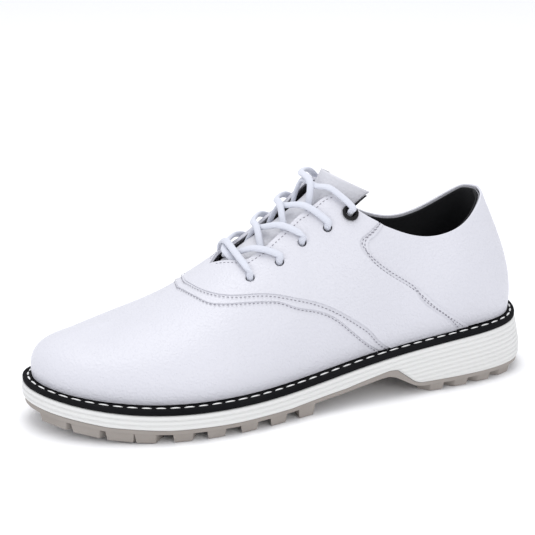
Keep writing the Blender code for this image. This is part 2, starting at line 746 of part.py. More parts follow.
def rod(name, start, end, radius, group, paint, segments=14):
    """A plain round rod between two points of the shoe, with rounded-off ends."""
    start, end = np.asarray(start, float), np.asarray(end, float)
    axis = (end - start) / np.linalg.norm(end - start)
    first = np.cross(axis, (0, 0, 1.0))
    first /= np.linalg.norm(first)
    second = np.cross(axis, first)
    length = np.linalg.norm(end - start)
    profile = [(0, radius * 0.7), (radius * 0.3, radius), (length - radius * 0.3, radius), (length, radius * 0.7)]
    points, faces = [], []
    for place_along, width in profile:
        for i in range(segments):
            angle = 2 * np.pi * i / segments
            points.append(start + axis * place_along + (first * np.cos(angle) + second * np.sin(angle)) * width)
    for row in range(len(profile) - 1):
        for i in range(segments):
            k = (i + 1) % segments
            a = row * segments
            faces.append((a + i, a + k, a + k + segments, a + i + segments))
    faces.append(tuple(range(segments)))
    faces.append(tuple(range(len(profile) * segments - 1, (len(profile) - 1) * segments - 1, -1)))
    return mesh_object(name, place(points), faces, group, paint)


def between(low, high):
    """Two seam functions from constants or seam keys, opened by half the seam gap."""
    made = []
    for keys, shift in ((low, SEAM_GAP_U), (high, -SEAM_GAP_U)):
        if isinstance(keys, (int, float)):
            made.append(lambda t, value=keys: value + 0 * t)
        else:
            made.append(lambda t, values=keys, move=shift: seam(values, t) + move)
    return made


# ---- the scene is cleared, and the collections and materials are made ----
for old in list(bpy.data.objects):
    bpy.data.objects.remove(old, do_unlink=True)

shoe = bpy.data.collections.new("golf_shoe")
helpers = bpy.data.collections.new("helpers")
bpy.context.scene.collection.children.link(shoe)
bpy.context.scene.collection.children.link(helpers)

white_leather = material("White leather", (0.86, 0.86, 0.88), 0.42)
tongue_white = material("White tongue leather", (0.85, 0.85, 0.87), 0.45)
white_rubber = material("White midsole rubber", (0.84, 0.84, 0.83), 0.5)
grey_rubber = material("Warm grey outsole rubber", (0.36, 0.33, 0.31), 0.6)
black_rubber = material("Black welt rubber", (0.012, 0.012, 0.014), 0.35)
white_thread = material("White seam thread", (0.85, 0.85, 0.84), 0.6)
black_lining = material("Black knit lining", (0.015, 0.015, 0.017), 0.85)
foam = material("Grey foam", (0.25, 0.25, 0.27), 0.9)
board_fibre = material("Insole fibreboard", (0.42, 0.30, 0.18), 0.85)
shank_steel = material("Shank steel", (0.45, 0.46, 0.48), 0.35, 1.0)
stiff_fibre = material("Counter fibre", (0.50, 0.42, 0.30), 0.8)
ring_black = material("Black eyelet enamel", (0.012, 0.012, 0.013), 0.3, 0.4)
lace_white = material("White lace", (0.86, 0.87, 0.9), 0.7)
tip_clear = material("Clear white tip", (0.80, 0.81, 0.83), 0.3)

# ---- outsole: one moulding of plate and lugs ----
outsole_line = inset_line(OUTSOLE_INSET, HEEL_FLARE)
breast = (83, 87, 92, 98, 103, 108)
outsole = plate(
    "outsole",
    [
        (outsole_line, lambda a: level(MIDSOLE_BOTTOM, a) - GAP),
        (outsole_line, lambda a: level(OUTSOLE_BOTTOM, a)),
    ],
    shoe,
    grey_rubber,
    extra=breast,
)
lugs = helper(joined("lugs", lug_blocks(), helpers))
boolean(outsole, lugs, "UNION")

# ---- midsole with its heel block, and the steel shank let into its top ----
midsole = plate(
    "midsole",
    [
        (inset_line(0.3), midsole_top),
        (inset_line(-MIDSOLE_BULGE / 2, 1.0), lambda a: midsole_top(a) - 1.6),
        (
            inset_line(-MIDSOLE_BULGE, HEEL_FLARE - 0.5),
            lambda a: midsole_top(a) * 0.35 + level(MIDSOLE_BOTTOM, a) * 0.65,
        ),
        (inset_line(0.4, HEEL_FLARE), lambda a: level(MIDSOLE_BOTTOM, a)),
    ],
    shoe,
    white_rubber,
    extra=breast,
)
pocket = helper(
    bar(
        "shank_pocket", SHANK_START - 1, SHANK_END + 1, SHANK_HALF + 0.5,
        -2.0, SHANK_THICK + 2 * GAP, helpers, None,
    )
)
boolean(midsole, pocket, "DIFFERENCE")
shank = bar(
    "shank", SHANK_START, SHANK_END, SHANK_HALF, GAP, GAP + SHANK_THICK, shoe, shank_steel
)

# ---- welt, its seam thread, insole board and footbed ----


def welt_profile(width):
    seam_at = width * THREAD_PLACE
    return [
        (0.5, GAP),
        (0.0, 0.9),
        (0.0, WELT_THICK - 0.6),
        (0.6, WELT_THICK),
        (seam_at - GROOVE_HALF, WELT_THICK),
        (seam_at - GROOVE_HALF + 0.1, WELT_THICK - GROOVE_DEPTH),
        (seam_at + GROOVE_HALF - 0.1, WELT_THICK - GROOVE_DEPTH),
        (seam_at + GROOVE_HALF, WELT_THICK),
        (width + WELT_UNDER, WELT_THICK),
        (width + WELT_UNDER, GAP),
    ]


def thread_profile(width):
    rise = WELT_THICK - GROOVE_DEPTH + GAP + THREAD_RADIUS
    turns = np.arange(6) * np.pi / 3
    return [
        (width * THREAD_PLACE + THREAD_RADIUS * np.sin(turn), rise - THREAD_RADIUS * np.cos(turn))
        for turn in turns
    ]


welt = ring("welt", welt_profile, shoe, black_rubber)
welt_thread = ring("welt_thread", thread_profile, shoe, white_thread)
under_width = welt_width(EDGE_LINE[:, 0])
board_line = inset_line(under_width + WELT_UNDER + 0.4)
insole_board = plate(
    "insole_board",
    [
        (board_line, lambda a: midsole_top(a) + GAP + BOARD_THICK),
        (board_line, lambda a: midsole_top(a) + GAP),
    ],
    shoe,
    board_fibre,
)
footbed_line = inset_line(under_width + 5.2)
footbed = plate(
    "footbed",
    [
        (footbed_line, lambda a: midsole_top(a) + 2 * GAP + BOARD_THICK + FOOTBED_THICK),
        (footbed_line, lambda a: midsole_top(a) + 2 * GAP + BOARD_THICK),
    ],
    shoe,
    black_lining,
)
# The loose footbed lifts about its toe end.
set_origin(footbed, FOOTBED_HINGE)

# ---- stiffeners and linings, inside the leather ----
sheet(
    "toe_puff",
    [patch(side, *between(0.86, 1.0), 6, 6, t_to=lambda u: 0 * u + 0.8) for side in SIDES],
    STIFFENER_LAYER,
    shoe,
    stiff_fibre,
)
sheet(
    "heel_counter",
    [patch(side, *between(0.0, 0.17), 7, 5, t_to=lambda u: 0 * u + 0.55) for side in SIDES],
    STIFFENER_LAYER,
    shoe,
    stiff_fibre,
)
sheet(
    "collar_padding",
    [
        patch(
            side, *between(0.0, 0.32), 12, 4,
            t_from=lambda u: 0 * u + 0.60, t_to=lambda u: 0 * u + 0.985,
        )
        for side in SIDES
    ],
    PADDING_LAYER,
    shoe,
    foam,
)
sheet(
    "vamp_lining",
    [patch(side, *between(SADDLE_SEAM, 1.0), 13, 9, crowding=1.5) for side in SIDES],
    LINING_LAYER,
    shoe,
    white_leather,
)


def lining_top(u):
    """The quarter lining reaches the collar, and stops under the eyelet backing."""
    return 0.992 - 0.532 * smooth_step(u, 0.335, 0.375)


sheet(
    "quarter_lining",
    [patch(side, *between(0.0, SADDLE_SEAM), 17, 7, t_to=lining_top) for side in SIDES],
    LINING_LAYER,
    shoe,
    black_lining,
)

# ---- leather pieces of the upper, from the toe back ----
sheet(
    "vamp",
    [patch(side, *between(VAMP_SEAM, 1.0), 14, 14, crowding=1.6) for side in SIDES],
    VAMP_LAYER,
    shoe,
    white_leather,
)
sheet(
    "front_band",
    [patch(side, *between(SADDLE_SEAM, VAMP_SEAM), 2, 26) for side in SIDES],
    BAND_LAYER,
    shoe,
    white_leather,
)
saddle = sheet(
    "saddle",
    [
        patch(
            side, *between(REAR_SADDLE_SEAM, SADDLE_SEAM), 18, 16,
            t_to=opening, crowding=1.2, shelf=SHELF_T,
        )
        for side in SIDES
    ],
    SADDLE_LAYER,
    shoe,
    white_leather,
)


def backing_foot(u):
    """Lower edge of the eyelet backing: it follows the row of holes."""
    return 0.53 + 0.2 * (1 - smooth_step(u, 0.40, 0.47)) + 0.055 * smooth_step(u, 0.53, 0.57)


for side, word in ((LATERAL, "outer"), (MEDIAL, "inner")):
    sheet(
        "rear_band_" + word,
        [patch(side, *between(QUARTER_SEAM, REAR_SADDLE_SEAM), 2, 16, shelf=SHELF_T)],
        BAND_LAYER,
        shoe,
        white_leather,
    )
    sheet(
        "quarter_" + word,
        [patch(side, lambda t: 0.0017 + 0 * t, between(0.0, QUARTER_SEAM)[1], 11, 10)],
        VAMP_LAYER,
        shoe,
        white_leather,
    )
    backing = sheet(
        "eyelet_backing_" + word,
        [
            patch(
                side, lambda t: 0.385 + 0 * t, lambda t: 0.594 + 0 * t, 12, 5,
                t_from=backing_foot,
                t_to=lambda u: opening(u) - 0.01,
            )
        ],
        BACKING_LAYER,
        shoe,
        black_lining,
    )
    radii = [HOLE_RADIUS] * (len(EYELETS) - 1) + [TOP_HOLE_RADIUS]
    punches = punch("punches_" + word, side, radii, helpers)
    boolean(saddle, punches, "DIFFERENCE")
    boolean(backing, punches, "DIFFERENCE")
    lathe("top_eyelet_" + word, RING_PROFILE, side, *EYELETS[-1], shoe, ring_black)

# ---- tongue: leather face over a padded backing, hinged where it is sewn to the vamp ----
tongue = tongue_piece("tongue", 0.0, TONGUE_LEATHER, 0.0, shoe, tongue_white)
tongue_padding = tongue_piece(
    "tongue_padding", TONGUE_LEATHER + GAP, TONGUE_PADDING, 1.0, shoe, black_lining
)
for piece in (tongue, tongue_padding):
    set_origin(piece, TONGUE_HINGE)

# ---- lace with its two tips, tucked away inside the shoe ----
route, first_end, second_end = lace_route()
lace = tube("lace", route, LACE_RADIUS, shoe, lace_white)
for word, end, before in (("outer", route[0], route[1]), ("inner", route[-1], route[-2])):
    forward = (end - before) / np.linalg.norm(end - before)
    rod(
        "lace_tip_" + word,
        end + forward * GAP,
        end + forward * (GAP + AGLET_LENGTH),
        AGLET_RADIUS,
        shoe,
        tip_clear,
    )
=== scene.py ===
"""Golf shoe for the left foot: a white leather upper on a stitched black welt, a ribbed
white midsole and a lugged grey outsole, laced through ten holes.

Lengths are in millimetres until place() turns them into the frame's metres. A place on the
shoe is (a, y, z): a runs forward from the back of the heel, y to the inner side, z up.
"""

import bmesh
import bpy
import numpy as np
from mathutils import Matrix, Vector


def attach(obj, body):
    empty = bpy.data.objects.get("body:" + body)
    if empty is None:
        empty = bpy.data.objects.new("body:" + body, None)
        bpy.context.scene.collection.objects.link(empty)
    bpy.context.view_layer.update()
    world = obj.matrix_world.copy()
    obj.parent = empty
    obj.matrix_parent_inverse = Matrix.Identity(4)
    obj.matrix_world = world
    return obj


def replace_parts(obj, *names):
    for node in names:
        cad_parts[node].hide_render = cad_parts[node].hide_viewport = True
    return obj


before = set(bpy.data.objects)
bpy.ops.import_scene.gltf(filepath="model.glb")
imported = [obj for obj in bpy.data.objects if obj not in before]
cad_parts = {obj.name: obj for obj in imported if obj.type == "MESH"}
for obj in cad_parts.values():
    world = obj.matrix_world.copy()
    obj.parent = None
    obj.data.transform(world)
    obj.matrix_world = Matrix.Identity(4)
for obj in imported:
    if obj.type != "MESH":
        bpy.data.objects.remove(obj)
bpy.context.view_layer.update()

# ======== the room: a pale floor, soft lamps and the camera ========
# A wide flat sheet of pale paper under an even white sky, with three soft boxes. It is not
# part of the shoe. Sizes here are in metres.
FLOOR_HALF = 6.0
FLOOR_Z = -0.0002
FLOOR_COLOUR = (0.96, 0.96, 0.965)
SKY_COLOUR = (0.95, 0.96, 1.0)
SKY_STRENGTH = 0.98

sweep_paint = bpy.data.materials.new("Pale paper sweep")
sweep_paint.use_nodes = True
nodes, links = sweep_paint.node_tree.nodes, sweep_paint.node_tree.links
sweep_shader = nodes["Principled BSDF"]
sweep_shader.label = "Paper"
sweep_grain = nodes.new("ShaderNodeTexNoise")
sweep_grain.label = "Paper grain"
sweep_grain.location = (-600, 0)
sweep_bump = nodes.new("ShaderNodeBump")
sweep_bump.label = "Grain relief"
sweep_bump.location = (-300, -200)
sweep_grain.inputs["Scale"].default_value = 240
sweep_bump.inputs["Strength"].default_value = 0.05
sweep_bump.inputs["Distance"].default_value = 0.0002
sweep_shader.inputs["Base Color"].default_value = (*FLOOR_COLOUR, 1)
sweep_shader.inputs["Roughness"].default_value = 0.9
links.new(sweep_grain.outputs["Fac"], sweep_bump.inputs["Height"])
links.new(sweep_bump.outputs["Normal"], sweep_shader.inputs["Normal"])

floor_mesh = bpy.data.meshes.new("floor")
floor_corners = [
    (-FLOOR_HALF, -FLOOR_HALF, FLOOR_Z), (FLOOR_HALF, -FLOOR_HALF, FLOOR_Z),
    (FLOOR_HALF, FLOOR_HALF, FLOOR_Z), (-FLOOR_HALF, FLOOR_HALF, FLOOR_Z),
]
floor_mesh.from_pydata(floor_corners, [], [(0, 1, 2, 3)])
floor_mesh.materials.append(sweep_paint)
floor = bpy.data.objects.new("floor", floor_mesh)
bpy.context.scene.collection.objects.link(floor)

world = bpy.context.scene.world or bpy.data.worlds.new("World")
bpy.context.scene.world = world
world.use_nodes = True
world.node_tree.nodes["Background"].inputs["Color"].default_value = (*SKY_COLOUR, 1)
world.node_tree.nodes["Background"].inputs["Strength"].default_value = SKY_STRENGTH
bpy.context.scene.view_settings.view_transform = "Standard"


def soft_box(name, place_at, aim, size, power, colour):
    """A rectangular lamp that faces its aim."""
    lamp = bpy.data.lights.new(name, "AREA")
    lamp.shape = "RECTANGLE"
    lamp.size, lamp.size_y = size
    lamp.energy = power
    lamp.color = colour
    holder = bpy.data.objects.new(name, lamp)
    bpy.context.scene.collection.objects.link(holder)
    holder.location = place_at
    holder.rotation_euler = (Vector(aim) - Vector(place_at)).to_track_quat("-Z", "Y").to_euler()


soft_box("lamp_over", (-0.1, 0.1, 1.3), (0, 0, 0.05), (0.9, 0.7), 6.5, (1, 1, 1))
soft_box("lamp_front", (0.2, -1.5, 0.75), (0, 0, 0.05), (0.5, 0.4), 3.5, (1, 0.99, 0.97))
soft_box("lamp_left", (-1.3, -0.3, 0.8), (0, 0, 0.05), (0.5, 0.5), 2.0, (0.97, 0.98, 1))

CAMERA_TURN = -22.86
CAMERA_RISE = 18.83
CAMERA_AWAY = 0.86833
CAMERA_AIM = Vector((-0.0001, 0.0033, 0.05))
CAMERA_LENS = 104.8
CAMERA_SHIFT = (-0.0262, 0.0644)
turn, rise = np.radians((CAMERA_TURN, CAMERA_RISE))
toward = Vector((np.sin(turn) * np.cos(rise), -np.cos(turn) * np.cos(rise), np.sin(rise)))
camera_data = bpy.data.cameras.new("camera")
camera_data.lens = CAMERA_LENS
camera_data.sensor_width = 36
camera_data.shift_x, camera_data.shift_y = CAMERA_SHIFT
camera_data.clip_start = 0.05
camera = bpy.data.objects.new("camera", camera_data)
camera.location = CAMERA_AIM + toward * CAMERA_AWAY
camera.rotation_euler = (-toward).to_track_quat("-Z", "Y").to_euler()
bpy.context.scene.collection.objects.link(camera)
bpy.context.scene.camera = camera

# ======== outsole ========
# One moulding of warm grey rubber: a thin plate that follows the midsole, a deep band round
# the toe, and tapered lugs in rows. It is cemented under the midsole.
MM = 0.001
# The place on the shoe that stands over the frame's origin.
CENTRE_A = 149.9
CENTRE_Y = -3.3
LATERAL, MEDIAL = -1, 1
SIDES = (LATERAL, MEDIAL)
GAP = 0.3
# The outer edge of the welt as seen from above, from the heel round the outer side.
EDGE = [
    (6, 0), (9.5, -16), (18, -29), (32, -37), (56, -41.5), (88, -42.5), (122, -43.5),
    (156, -49), (190, -55.5), (220, -56), (247, -50), (271, -38), (289, -21.5), (297, -3),
    (294, 15), (281, 30), (260, 42.5), (232, 49.5), (200, 48), (165, 39), (128, 31),
    (92, 31), (56, 36), (32, 34.5), (18, 28), (9.5, 15.5),
]
EDGE_POINTS = 960
# Heights along the shoe, as (a, z).
MIDSOLE_BOTTOM = [
    (0, 6.8), (83, 6.8), (87, 8.2), (98, 16.6), (103, 16.8), (112, 14.8), (130, 11.2),
    (165, 7.6), (200, 7.0), (235, 7.4), (265, 9.8), (290, 14.0), (305, 17.2),
]
OUTSOLE_BOTTOM = [
    (0, 4.4), (82, 4.4), (87, 5.6), (100, 12.8), (105, 13.2), (113, 11.6), (130, 8.6),
    (165, 5.2), (200, 4.6), (235, 5.0), (265, 7.2), (290, 11.2), (305, 14.0),
]
TREAD = [(0, 0), (242, 0), (265, 2.0), (290, 6.4), (305, 9.6)]
# How far the foot of the heel stands back, and the length over which that fades out.
HEEL_FLARE = 4.0
HEEL_FLARE_LENGTH = 58.0
OUTSOLE_INSET = 0.8
# Lugs: their depth in from the edge, their taper, and their middles along the shoe. Toe
# lugs run between shares of one side's length, and centre lugs stand at shares of the width.
LUG_DEPTH = 10.0
LUG_TAPER = 1.3
LATERAL_LUGS = [247, 228, 210, 191, 173, 155]
MEDIAL_LUGS = [244, 225, 206, 187, 168, 150]
LUG_LENGTH = 11.0
TOE_LUGS = [(0.80, 0.845), (0.852, 0.90), (0.907, 0.96)]
HEEL_LUGS = [24, 40, 56, 72]
HEEL_LUG_LENGTH = 9.0
CENTRE_ROWS = [160, 179, 198, 217, 236, 255, 273]
CENTRE_PLACES = [-0.36, 0.0, 0.36]
HEEL_ROWS = [32, 50, 68]
CENTRE_LUG = (10.0, 8.0)
LUG_EDGE = 0.45
GREY_RUBBER = (0.27, 0.24, 0.215)


def place(points):
    """(a, y, z) in millimetres to the part's frame in metres."""
    points = np.asarray(points, float)
    moved = np.stack([CENTRE_A - points[..., 0], points[..., 1] - CENTRE_Y, points[..., 2]], -1)
    return moved * MM


def smooth_step(value, low, high):
    """0 up to low, 1 from high on, and an S between."""
    k = np.clip((np.asarray(value, float) - low) / (high - low), 0, 1)
    return k * k * (3 - 2 * k)


def spline(knots, values, at):
    """Natural cubic through the values, read at the given places."""
    knots = np.asarray(knots, float)
    values = np.asarray(values, float)
    rows = values.reshape(len(knots), -1)
    count = len(knots)
    step = np.diff(knots)
    matrix = np.eye(count)
    right = np.zeros((count, rows.shape[1]))
    for i in range(1, count - 1):
        matrix[i, i - 1 : i + 2] = step[i - 1], 2 * (step[i - 1] + step[i]), step[i]
        slopes = (rows[i + 1] - rows[i]) / step[i] - (rows[i] - rows[i - 1]) / step[i - 1]
        right[i] = 6 * slopes
    bend = np.linalg.solve(matrix, right)
    at = np.asarray(at, float)
    i = np.clip(np.searchsorted(knots, at) - 1, 0, count - 2)
    before = (knots[i + 1] - at)[..., None]
    after = (at - knots[i])[..., None]
    width = step[i][..., None]
    found = (bend[i] * before**3 + bend[i + 1] * after**3) / (6 * width)
    found = found + (rows[i] / width - bend[i] * width / 6) * before
    found = found + (rows[i + 1] / width - bend[i + 1] * width / 6) * after
    return found if values.ndim > 1 else found[..., 0]


def level(keys, a):
    """Keys such as (a, z) read straight between them."""
    return np.interp(a, *zip(*keys))


def closed_edge():
    """EDGE as a smooth closed line, with its inward normals."""
    points = np.array(EDGE, float)
    count = len(points)
    looped = np.vstack([points[-4:], points, points[:5]])
    lengths = np.linalg.norm(np.diff(looped, axis=0), axis=1)
    run = np.concatenate([[0], np.cumsum(lengths)])
    at = np.linspace(run[4], run[4 + count], EDGE_POINTS, endpoint=False)
    line = spline(run, looped, at)
    along = np.roll(line, -1, 0) - np.roll(line, 1, 0)
    along /= np.linalg.norm(along, axis=1)[:, None]
    return line, np.stack([-along[:, 1], along[:, 0]], 1)


EDGE_LINE, EDGE_INWARD = closed_edge()


def inset_line(inset, flare=0.0):
    """The edge moved inwards, and its heel moved back by the flare."""
    moved = EDGE_LINE + EDGE_INWARD * np.broadcast_to(inset, EDGE_POINTS)[:, None]
    back = flare * (1 - smooth_step(moved[:, 0], 0, HEEL_FLARE_LENGTH))
    return moved - np.stack([back, np.zeros(EDGE_POINTS)], 1)


def half_line(line, side):
    """One side of a closed line, from heel to toe."""
    tip = int(np.argmax(line[:, 0]))
    if side == LATERAL:
        return line[: tip + 1]
    return np.vstack([line[:1], line[: tip - 1 : -1]])


def along(line, share):
    """Points at these shares of the length of a line."""
    lengths = np.linalg.norm(np.diff(line, axis=0), axis=1)
    run = np.concatenate([[0], np.cumsum(lengths)])
    run /= run[-1]
    return np.stack([np.interp(share, run, line[:, k]) for k in range(line.shape[1])], -1)


def grid_faces(rows, columns, start=0):
    """Four-sided faces over a grid of points that begins at the given point."""
    faces = []
    for i in range(rows - 1):
        for j in range(columns - 1):
            k = start + i * columns + j
            faces.append((k, k + 1, k + columns + 1, k + columns))
    return faces


def prism(top, bottom):
    """Corners and faces of a block between two four-cornered ends."""
    points = list(top) + list(bottom)
    faces = [(0, 1, 2, 3), (7, 6, 5, 4), (0, 4, 5, 1), (1, 5, 6, 2), (2, 6, 7, 3), (3, 7, 4, 0)]
    return points, faces


def block(corners, taper):
    """A lug: its corners seen from above, sunk into the outsole and tapered to the tread."""
    corners = np.asarray(corners, float)
    middle = corners.mean(0)
    pull = middle - corners
    lower = corners + pull / np.linalg.norm(pull, axis=1)[:, None] * taper
    sunk = level(OUTSOLE_BOTTOM, corners[:, 0]) + 0.7
    tread = level(TREAD, lower[:, 0])
    return prism(np.column_stack([corners, sunk]), np.column_stack([lower, tread]))


def lug_blocks():
    """Every lug of the outsole, none touching another."""
    line = inset_line(OUTSOLE_INSET + 0.3, HEEL_FLARE)
    blocks = []

    def edge_lug(side, start, end, depth):
        outer = half_line(line, side)
        inner = half_line(inset_line(OUTSOLE_INSET + 0.3 + depth, HEEL_FLARE), side)
        ends = [along(outer, start), along(outer, end), along(inner, end), along(inner, start)]
        blocks.append(block(ends, LUG_TAPER))

    def share_of(side, a):
        half = half_line(line, side)
        lengths = np.linalg.norm(np.diff(half, axis=0), axis=1)
        run = np.concatenate([[0], np.cumsum(lengths)])
        return np.interp(a, np.maximum.accumulate(half[:, 0]), run / run[-1])

    for side, places in ((LATERAL, LATERAL_LUGS), (MEDIAL, MEDIAL_LUGS)):
        for a in places:
            half_length = LUG_LENGTH / 2
            edge_lug(side, share_of(side, a - half_length), share_of(side, a + half_length), LUG_DEPTH)
        for a in HEEL_LUGS:
            half_length = HEEL_LUG_LENGTH / 2
            edge_lug(side, share_of(side, a - half_length), share_of(side, a + half_length), LUG_DEPTH - 2)
        for start, end in TOE_LUGS:
            edge_lug(side, start, end, LUG_DEPTH - 1)
    long, wide = CENTRE_LUG
    for a in CENTRE_ROWS + HEEL_ROWS:
        inner = [half_line(inset_line(16.0, HEEL_FLARE), side) for side in SIDES]
        low, high = (np.interp(a, np.maximum.accumulate(half[:, 0]), half[:, 1]) for half in inner)
        places = CENTRE_PLACES if high - low > 40 and a > 100 else [0.0]
        for share in places:
            y = (low + high) / 2 + share * (high - low)
            corners = [
                (a - long / 2, y), (a, y - wide / 2), (a + long / 2, y), (a, y + wide / 2),
            ]
            blocks.append(block(corners, LUG_TAPER))
    return blocks


def mesh_object(name, points, faces, paint, merge=1e-6, rounded=True):
    """An object from points in metres, with equal points made one and faces turned out."""
    made = bmesh.new()
    corners = [made.verts.new(point) for point in points]
    for face in faces:
        if len(set(face)) > 2:
            made.faces.new([corners[i] for i in face])
    bmesh.ops.remove_doubles(made, verts=made.verts, dist=merge)
    bmesh.ops.dissolve_degenerate(made, edges=made.edges, dist=merge)
    bmesh.ops.recalc_face_normals(made, faces=made.faces)
    mesh = bpy.data.meshes.new(name)
    made.to_mesh(mesh)
    made.free()
    mesh.polygons.foreach_set("use_smooth", [rounded] * len(mesh.polygons))
    mesh.materials.append(paint)
    obj = bpy.data.objects.new(name, mesh)
    bpy.context.scene.collection.objects.link(obj)
    return obj


def plain(obj):
    """Turns what an object's modifiers make into its own mesh."""
    bpy.context.view_layer.update()
    graph = bpy.context.evaluated_depsgraph_get()
    made = bpy.data.meshes.new_from_object(obj.evaluated_get(graph))
    made.name = obj.name
    obj.modifiers.clear()
    obj.data = made
    return obj


def plate_rows(extra, count):
    """Places along the sole for a plate's rows: close at heel and toe, and at the keys."""
    share = (1 - np.cos(np.linspace(0, np.pi, count))) / 2
    rows = list(6 + 291 * share) + list(extra)
    rows.sort()
    kept = [rows[0]]
    for a in rows[1:]:
        if a - kept[-1] > 0.3 or a in extra:
            kept.append(a)
    kept[-1] = rows[-1]
    return np.array(kept)


def plate(name, levels, paint, extra=(), columns=9, count=90, rounded=True):
    """A solid whose levels, from top to bottom, are (line, height function) pairs. The first
    and last are capped, and those between only shape the side wall."""
    rows = plate_rows(extra, count)
    share = np.linspace(0, 1, columns)[None, :]
    grids = []
    for line, height in levels:
        low, high = line[:, 0].min(), line[:, 0].max()
        places = np.interp(rows, [rows[0], 66, 230, rows[-1]], [low, 66, 230, high])
        edges = []
        for side in SIDES:
            half = half_line(line, side)
            edges.append(np.interp(places, np.maximum.accumulate(half[:, 0]), half[:, 1]))
        edges[0][[0, -1]] = edges[1][[0, -1]] = (edges[0][[0, -1]] + edges[1][[0, -1]]) / 2
        across = edges[0][:, None] * (1 - share) + edges[1][:, None] * share
        forward = places[:, None] + 0 * share
        grids.append(np.stack([forward, across, height(forward)], -1))
    size = len(rows) * columns
    points = place(np.concatenate([grid.reshape(-1, 3) for grid in grids]))
    last = (len(grids) - 1) * size
    faces = grid_faces(len(rows), columns) + grid_faces(len(rows), columns, last)
    for k in range(len(grids) - 1):
        for i in range(len(rows) - 1):
            for j in (0, columns - 1):
                a, b = k * size + i * columns + j, k * size + (i + 1) * columns + j
                faces.append((a, b, b + size, a + size))
    used = sorted({i for face in faces for i in face})
    order = {old: new for new, old in enumerate(used)}
    faces = [tuple(order[i] for i in face) for face in faces]
    return mesh_object(name, points[used], faces, paint, rounded=rounded)


def rubber(name, colour, roughness, grain, relief, streak):
    """Moulded rubber: a fine matt grain, faint flow marks, and dust that lightens it in patches."""
    made = bpy.data.materials.new(name)
    made.use_nodes = True
    nodes, links = made.node_tree.nodes, made.node_tree.links
    shader = nodes["Principled BSDF"]
    shader.label = "Rubber"
    where = nodes.new("ShaderNodeTexCoord")
    where.label = "Place on the shoe"
    where.location = (-1300, 0)
    colour_frame = nodes.new("NodeFrame")
    colour_frame.label = "Colour"
    patches = nodes.new("ShaderNodeTexNoise")
    patches.label = "Dust patches"
    patches.location = (-1000, 300)
    patches.parent = colour_frame
    flow = nodes.new("ShaderNodeTexNoise")
    flow.label = "Flow marks"
    flow.location = (-1000, 50)
    flow.parent = colour_frame
    tint = nodes.new("ShaderNodeMix")
    tint.label = "Rubber and dust"
    tint.data_type = "RGBA"
    tint.location = (-650, 250)
    tint.parent = colour_frame
    relief_frame = nodes.new("NodeFrame")
    relief_frame.label = "Surface"
    fine = nodes.new("ShaderNodeTexNoise")
    fine.label = "Mould grain"
    fine.location = (-1000, -250)
    fine.parent = relief_frame
    bump = nodes.new("ShaderNodeBump")
    bump.label = "Grain relief"
    bump.location = (-350, -250)
    bump.parent = relief_frame
    shine = nodes.new("ShaderNodeMapRange")
    shine.label = "Uneven shine"
    shine.location = (-650, 0)
    shine.parent = relief_frame
    patches.inputs["Scale"].default_value = 38
    patches.inputs["Detail"].default_value = 6
    flow.inputs["Scale"].default_value = 110
    flow.inputs["Distortion"].default_value = 1.5
    fine.inputs["Scale"].default_value = grain
    fine.inputs["Detail"].default_value = 4
    tint.inputs["A"].default_value = (*colour, 1)
    tint.inputs["B"].default_value = (*[c + (0.75 - c) * streak for c in colour], 1)
    bump.inputs["Strength"].default_value = 0.5
    bump.inputs["Distance"].default_value = relief
    shine.inputs["To Min"].default_value = roughness - 0.08
    shine.inputs["To Max"].default_value = roughness + 0.08
    shader.inputs["Specular IOR Level"].default_value = min(max(colour), 0.4)
    for texture in (patches, flow, fine):
        links.new(where.outputs["Object"], texture.inputs["Vector"])
    links.new(patches.outputs["Fac"], tint.inputs["Factor"])
    links.new(tint.outputs["Result"], shader.inputs["Base Color"])
    links.new(flow.outputs["Fac"], shine.inputs["Value"])
    links.new(shine.outputs["Result"], shader.inputs["Roughness"])
    links.new(fine.outputs["Fac"], bump.inputs["Height"])
    links.new(bump.outputs["Normal"], shader.inputs["Normal"])
    return made


grey_rubber = rubber("Warm grey outsole rubber", GREY_RUBBER, 0.62, 1500, 0.0001, 0.12)
outsole_line = inset_line(OUTSOLE_INSET, HEEL_FLARE)
BREAST_ROWS = (83, 87, 92, 98, 103, 108)
outsole = plate(
    "outsole_moulding",
    [
        (outsole_line, lambda a: level(MIDSOLE_BOTTOM, a) - GAP),
        (outsole_line, lambda a: level(OUTSOLE_BOTTOM, a)),
    ],
    grey_rubber,
    extra=BREAST_ROWS,
    rounded=False,
)
lug_points, lug_faces = [], []
for points, faces in lug_blocks():
    start = len(lug_points)
    lug_points.extend(points)
    lug_faces.extend(tuple(start + i for i in face) for face in faces)
lugs = mesh_object("outsole_lugs", place(lug_points), lug_faces, grey_rubber, rounded=False)
for piece in (outsole, lugs):
    round_off = piece.modifiers.new("Rounded edges", "BEVEL")
    round_off.width = LUG_EDGE * MM
    round_off.segments = 2
    round_off.limit_method = "ANGLE"
    round_off.angle_limit = np.radians(40)
    plain(piece)
    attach(piece, "shoe")
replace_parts(outsole, "outsole")

# ======== midsole ========
# White moulded rubber with a heel block that flares backwards. Fine ribs run round its wall,
# side by side under a plain band. It is cemented between the welt and the outsole.
MIDSOLE_TOP = [
    (0, 31.5), (30, 30.2), (60, 28.6), (95, 25), (130, 19.8), (165, 16.2), (200, 15.2),
    (235, 15.6), (265, 17.8), (290, 21.8), (305, 25),
]
MIDSOLE_WHITE = (0.66, 0.66, 0.645)
WALL_STATIONS = 480
WALL_STEP = 0.35
WALL_IN = 13.0
# The wall's section going down, as (share of its height, inset from the edge).
WALL_SECTION = [(0, 0.5), (0.1, -0.3), (0.65, -0.6), (0.93, -0.3), (1, 0.5)]
WALL_DEEPEST = 26
RIB_PITCH = 2.7
RIB_DEEP = 0.85
PLAIN_BAND = 2.6


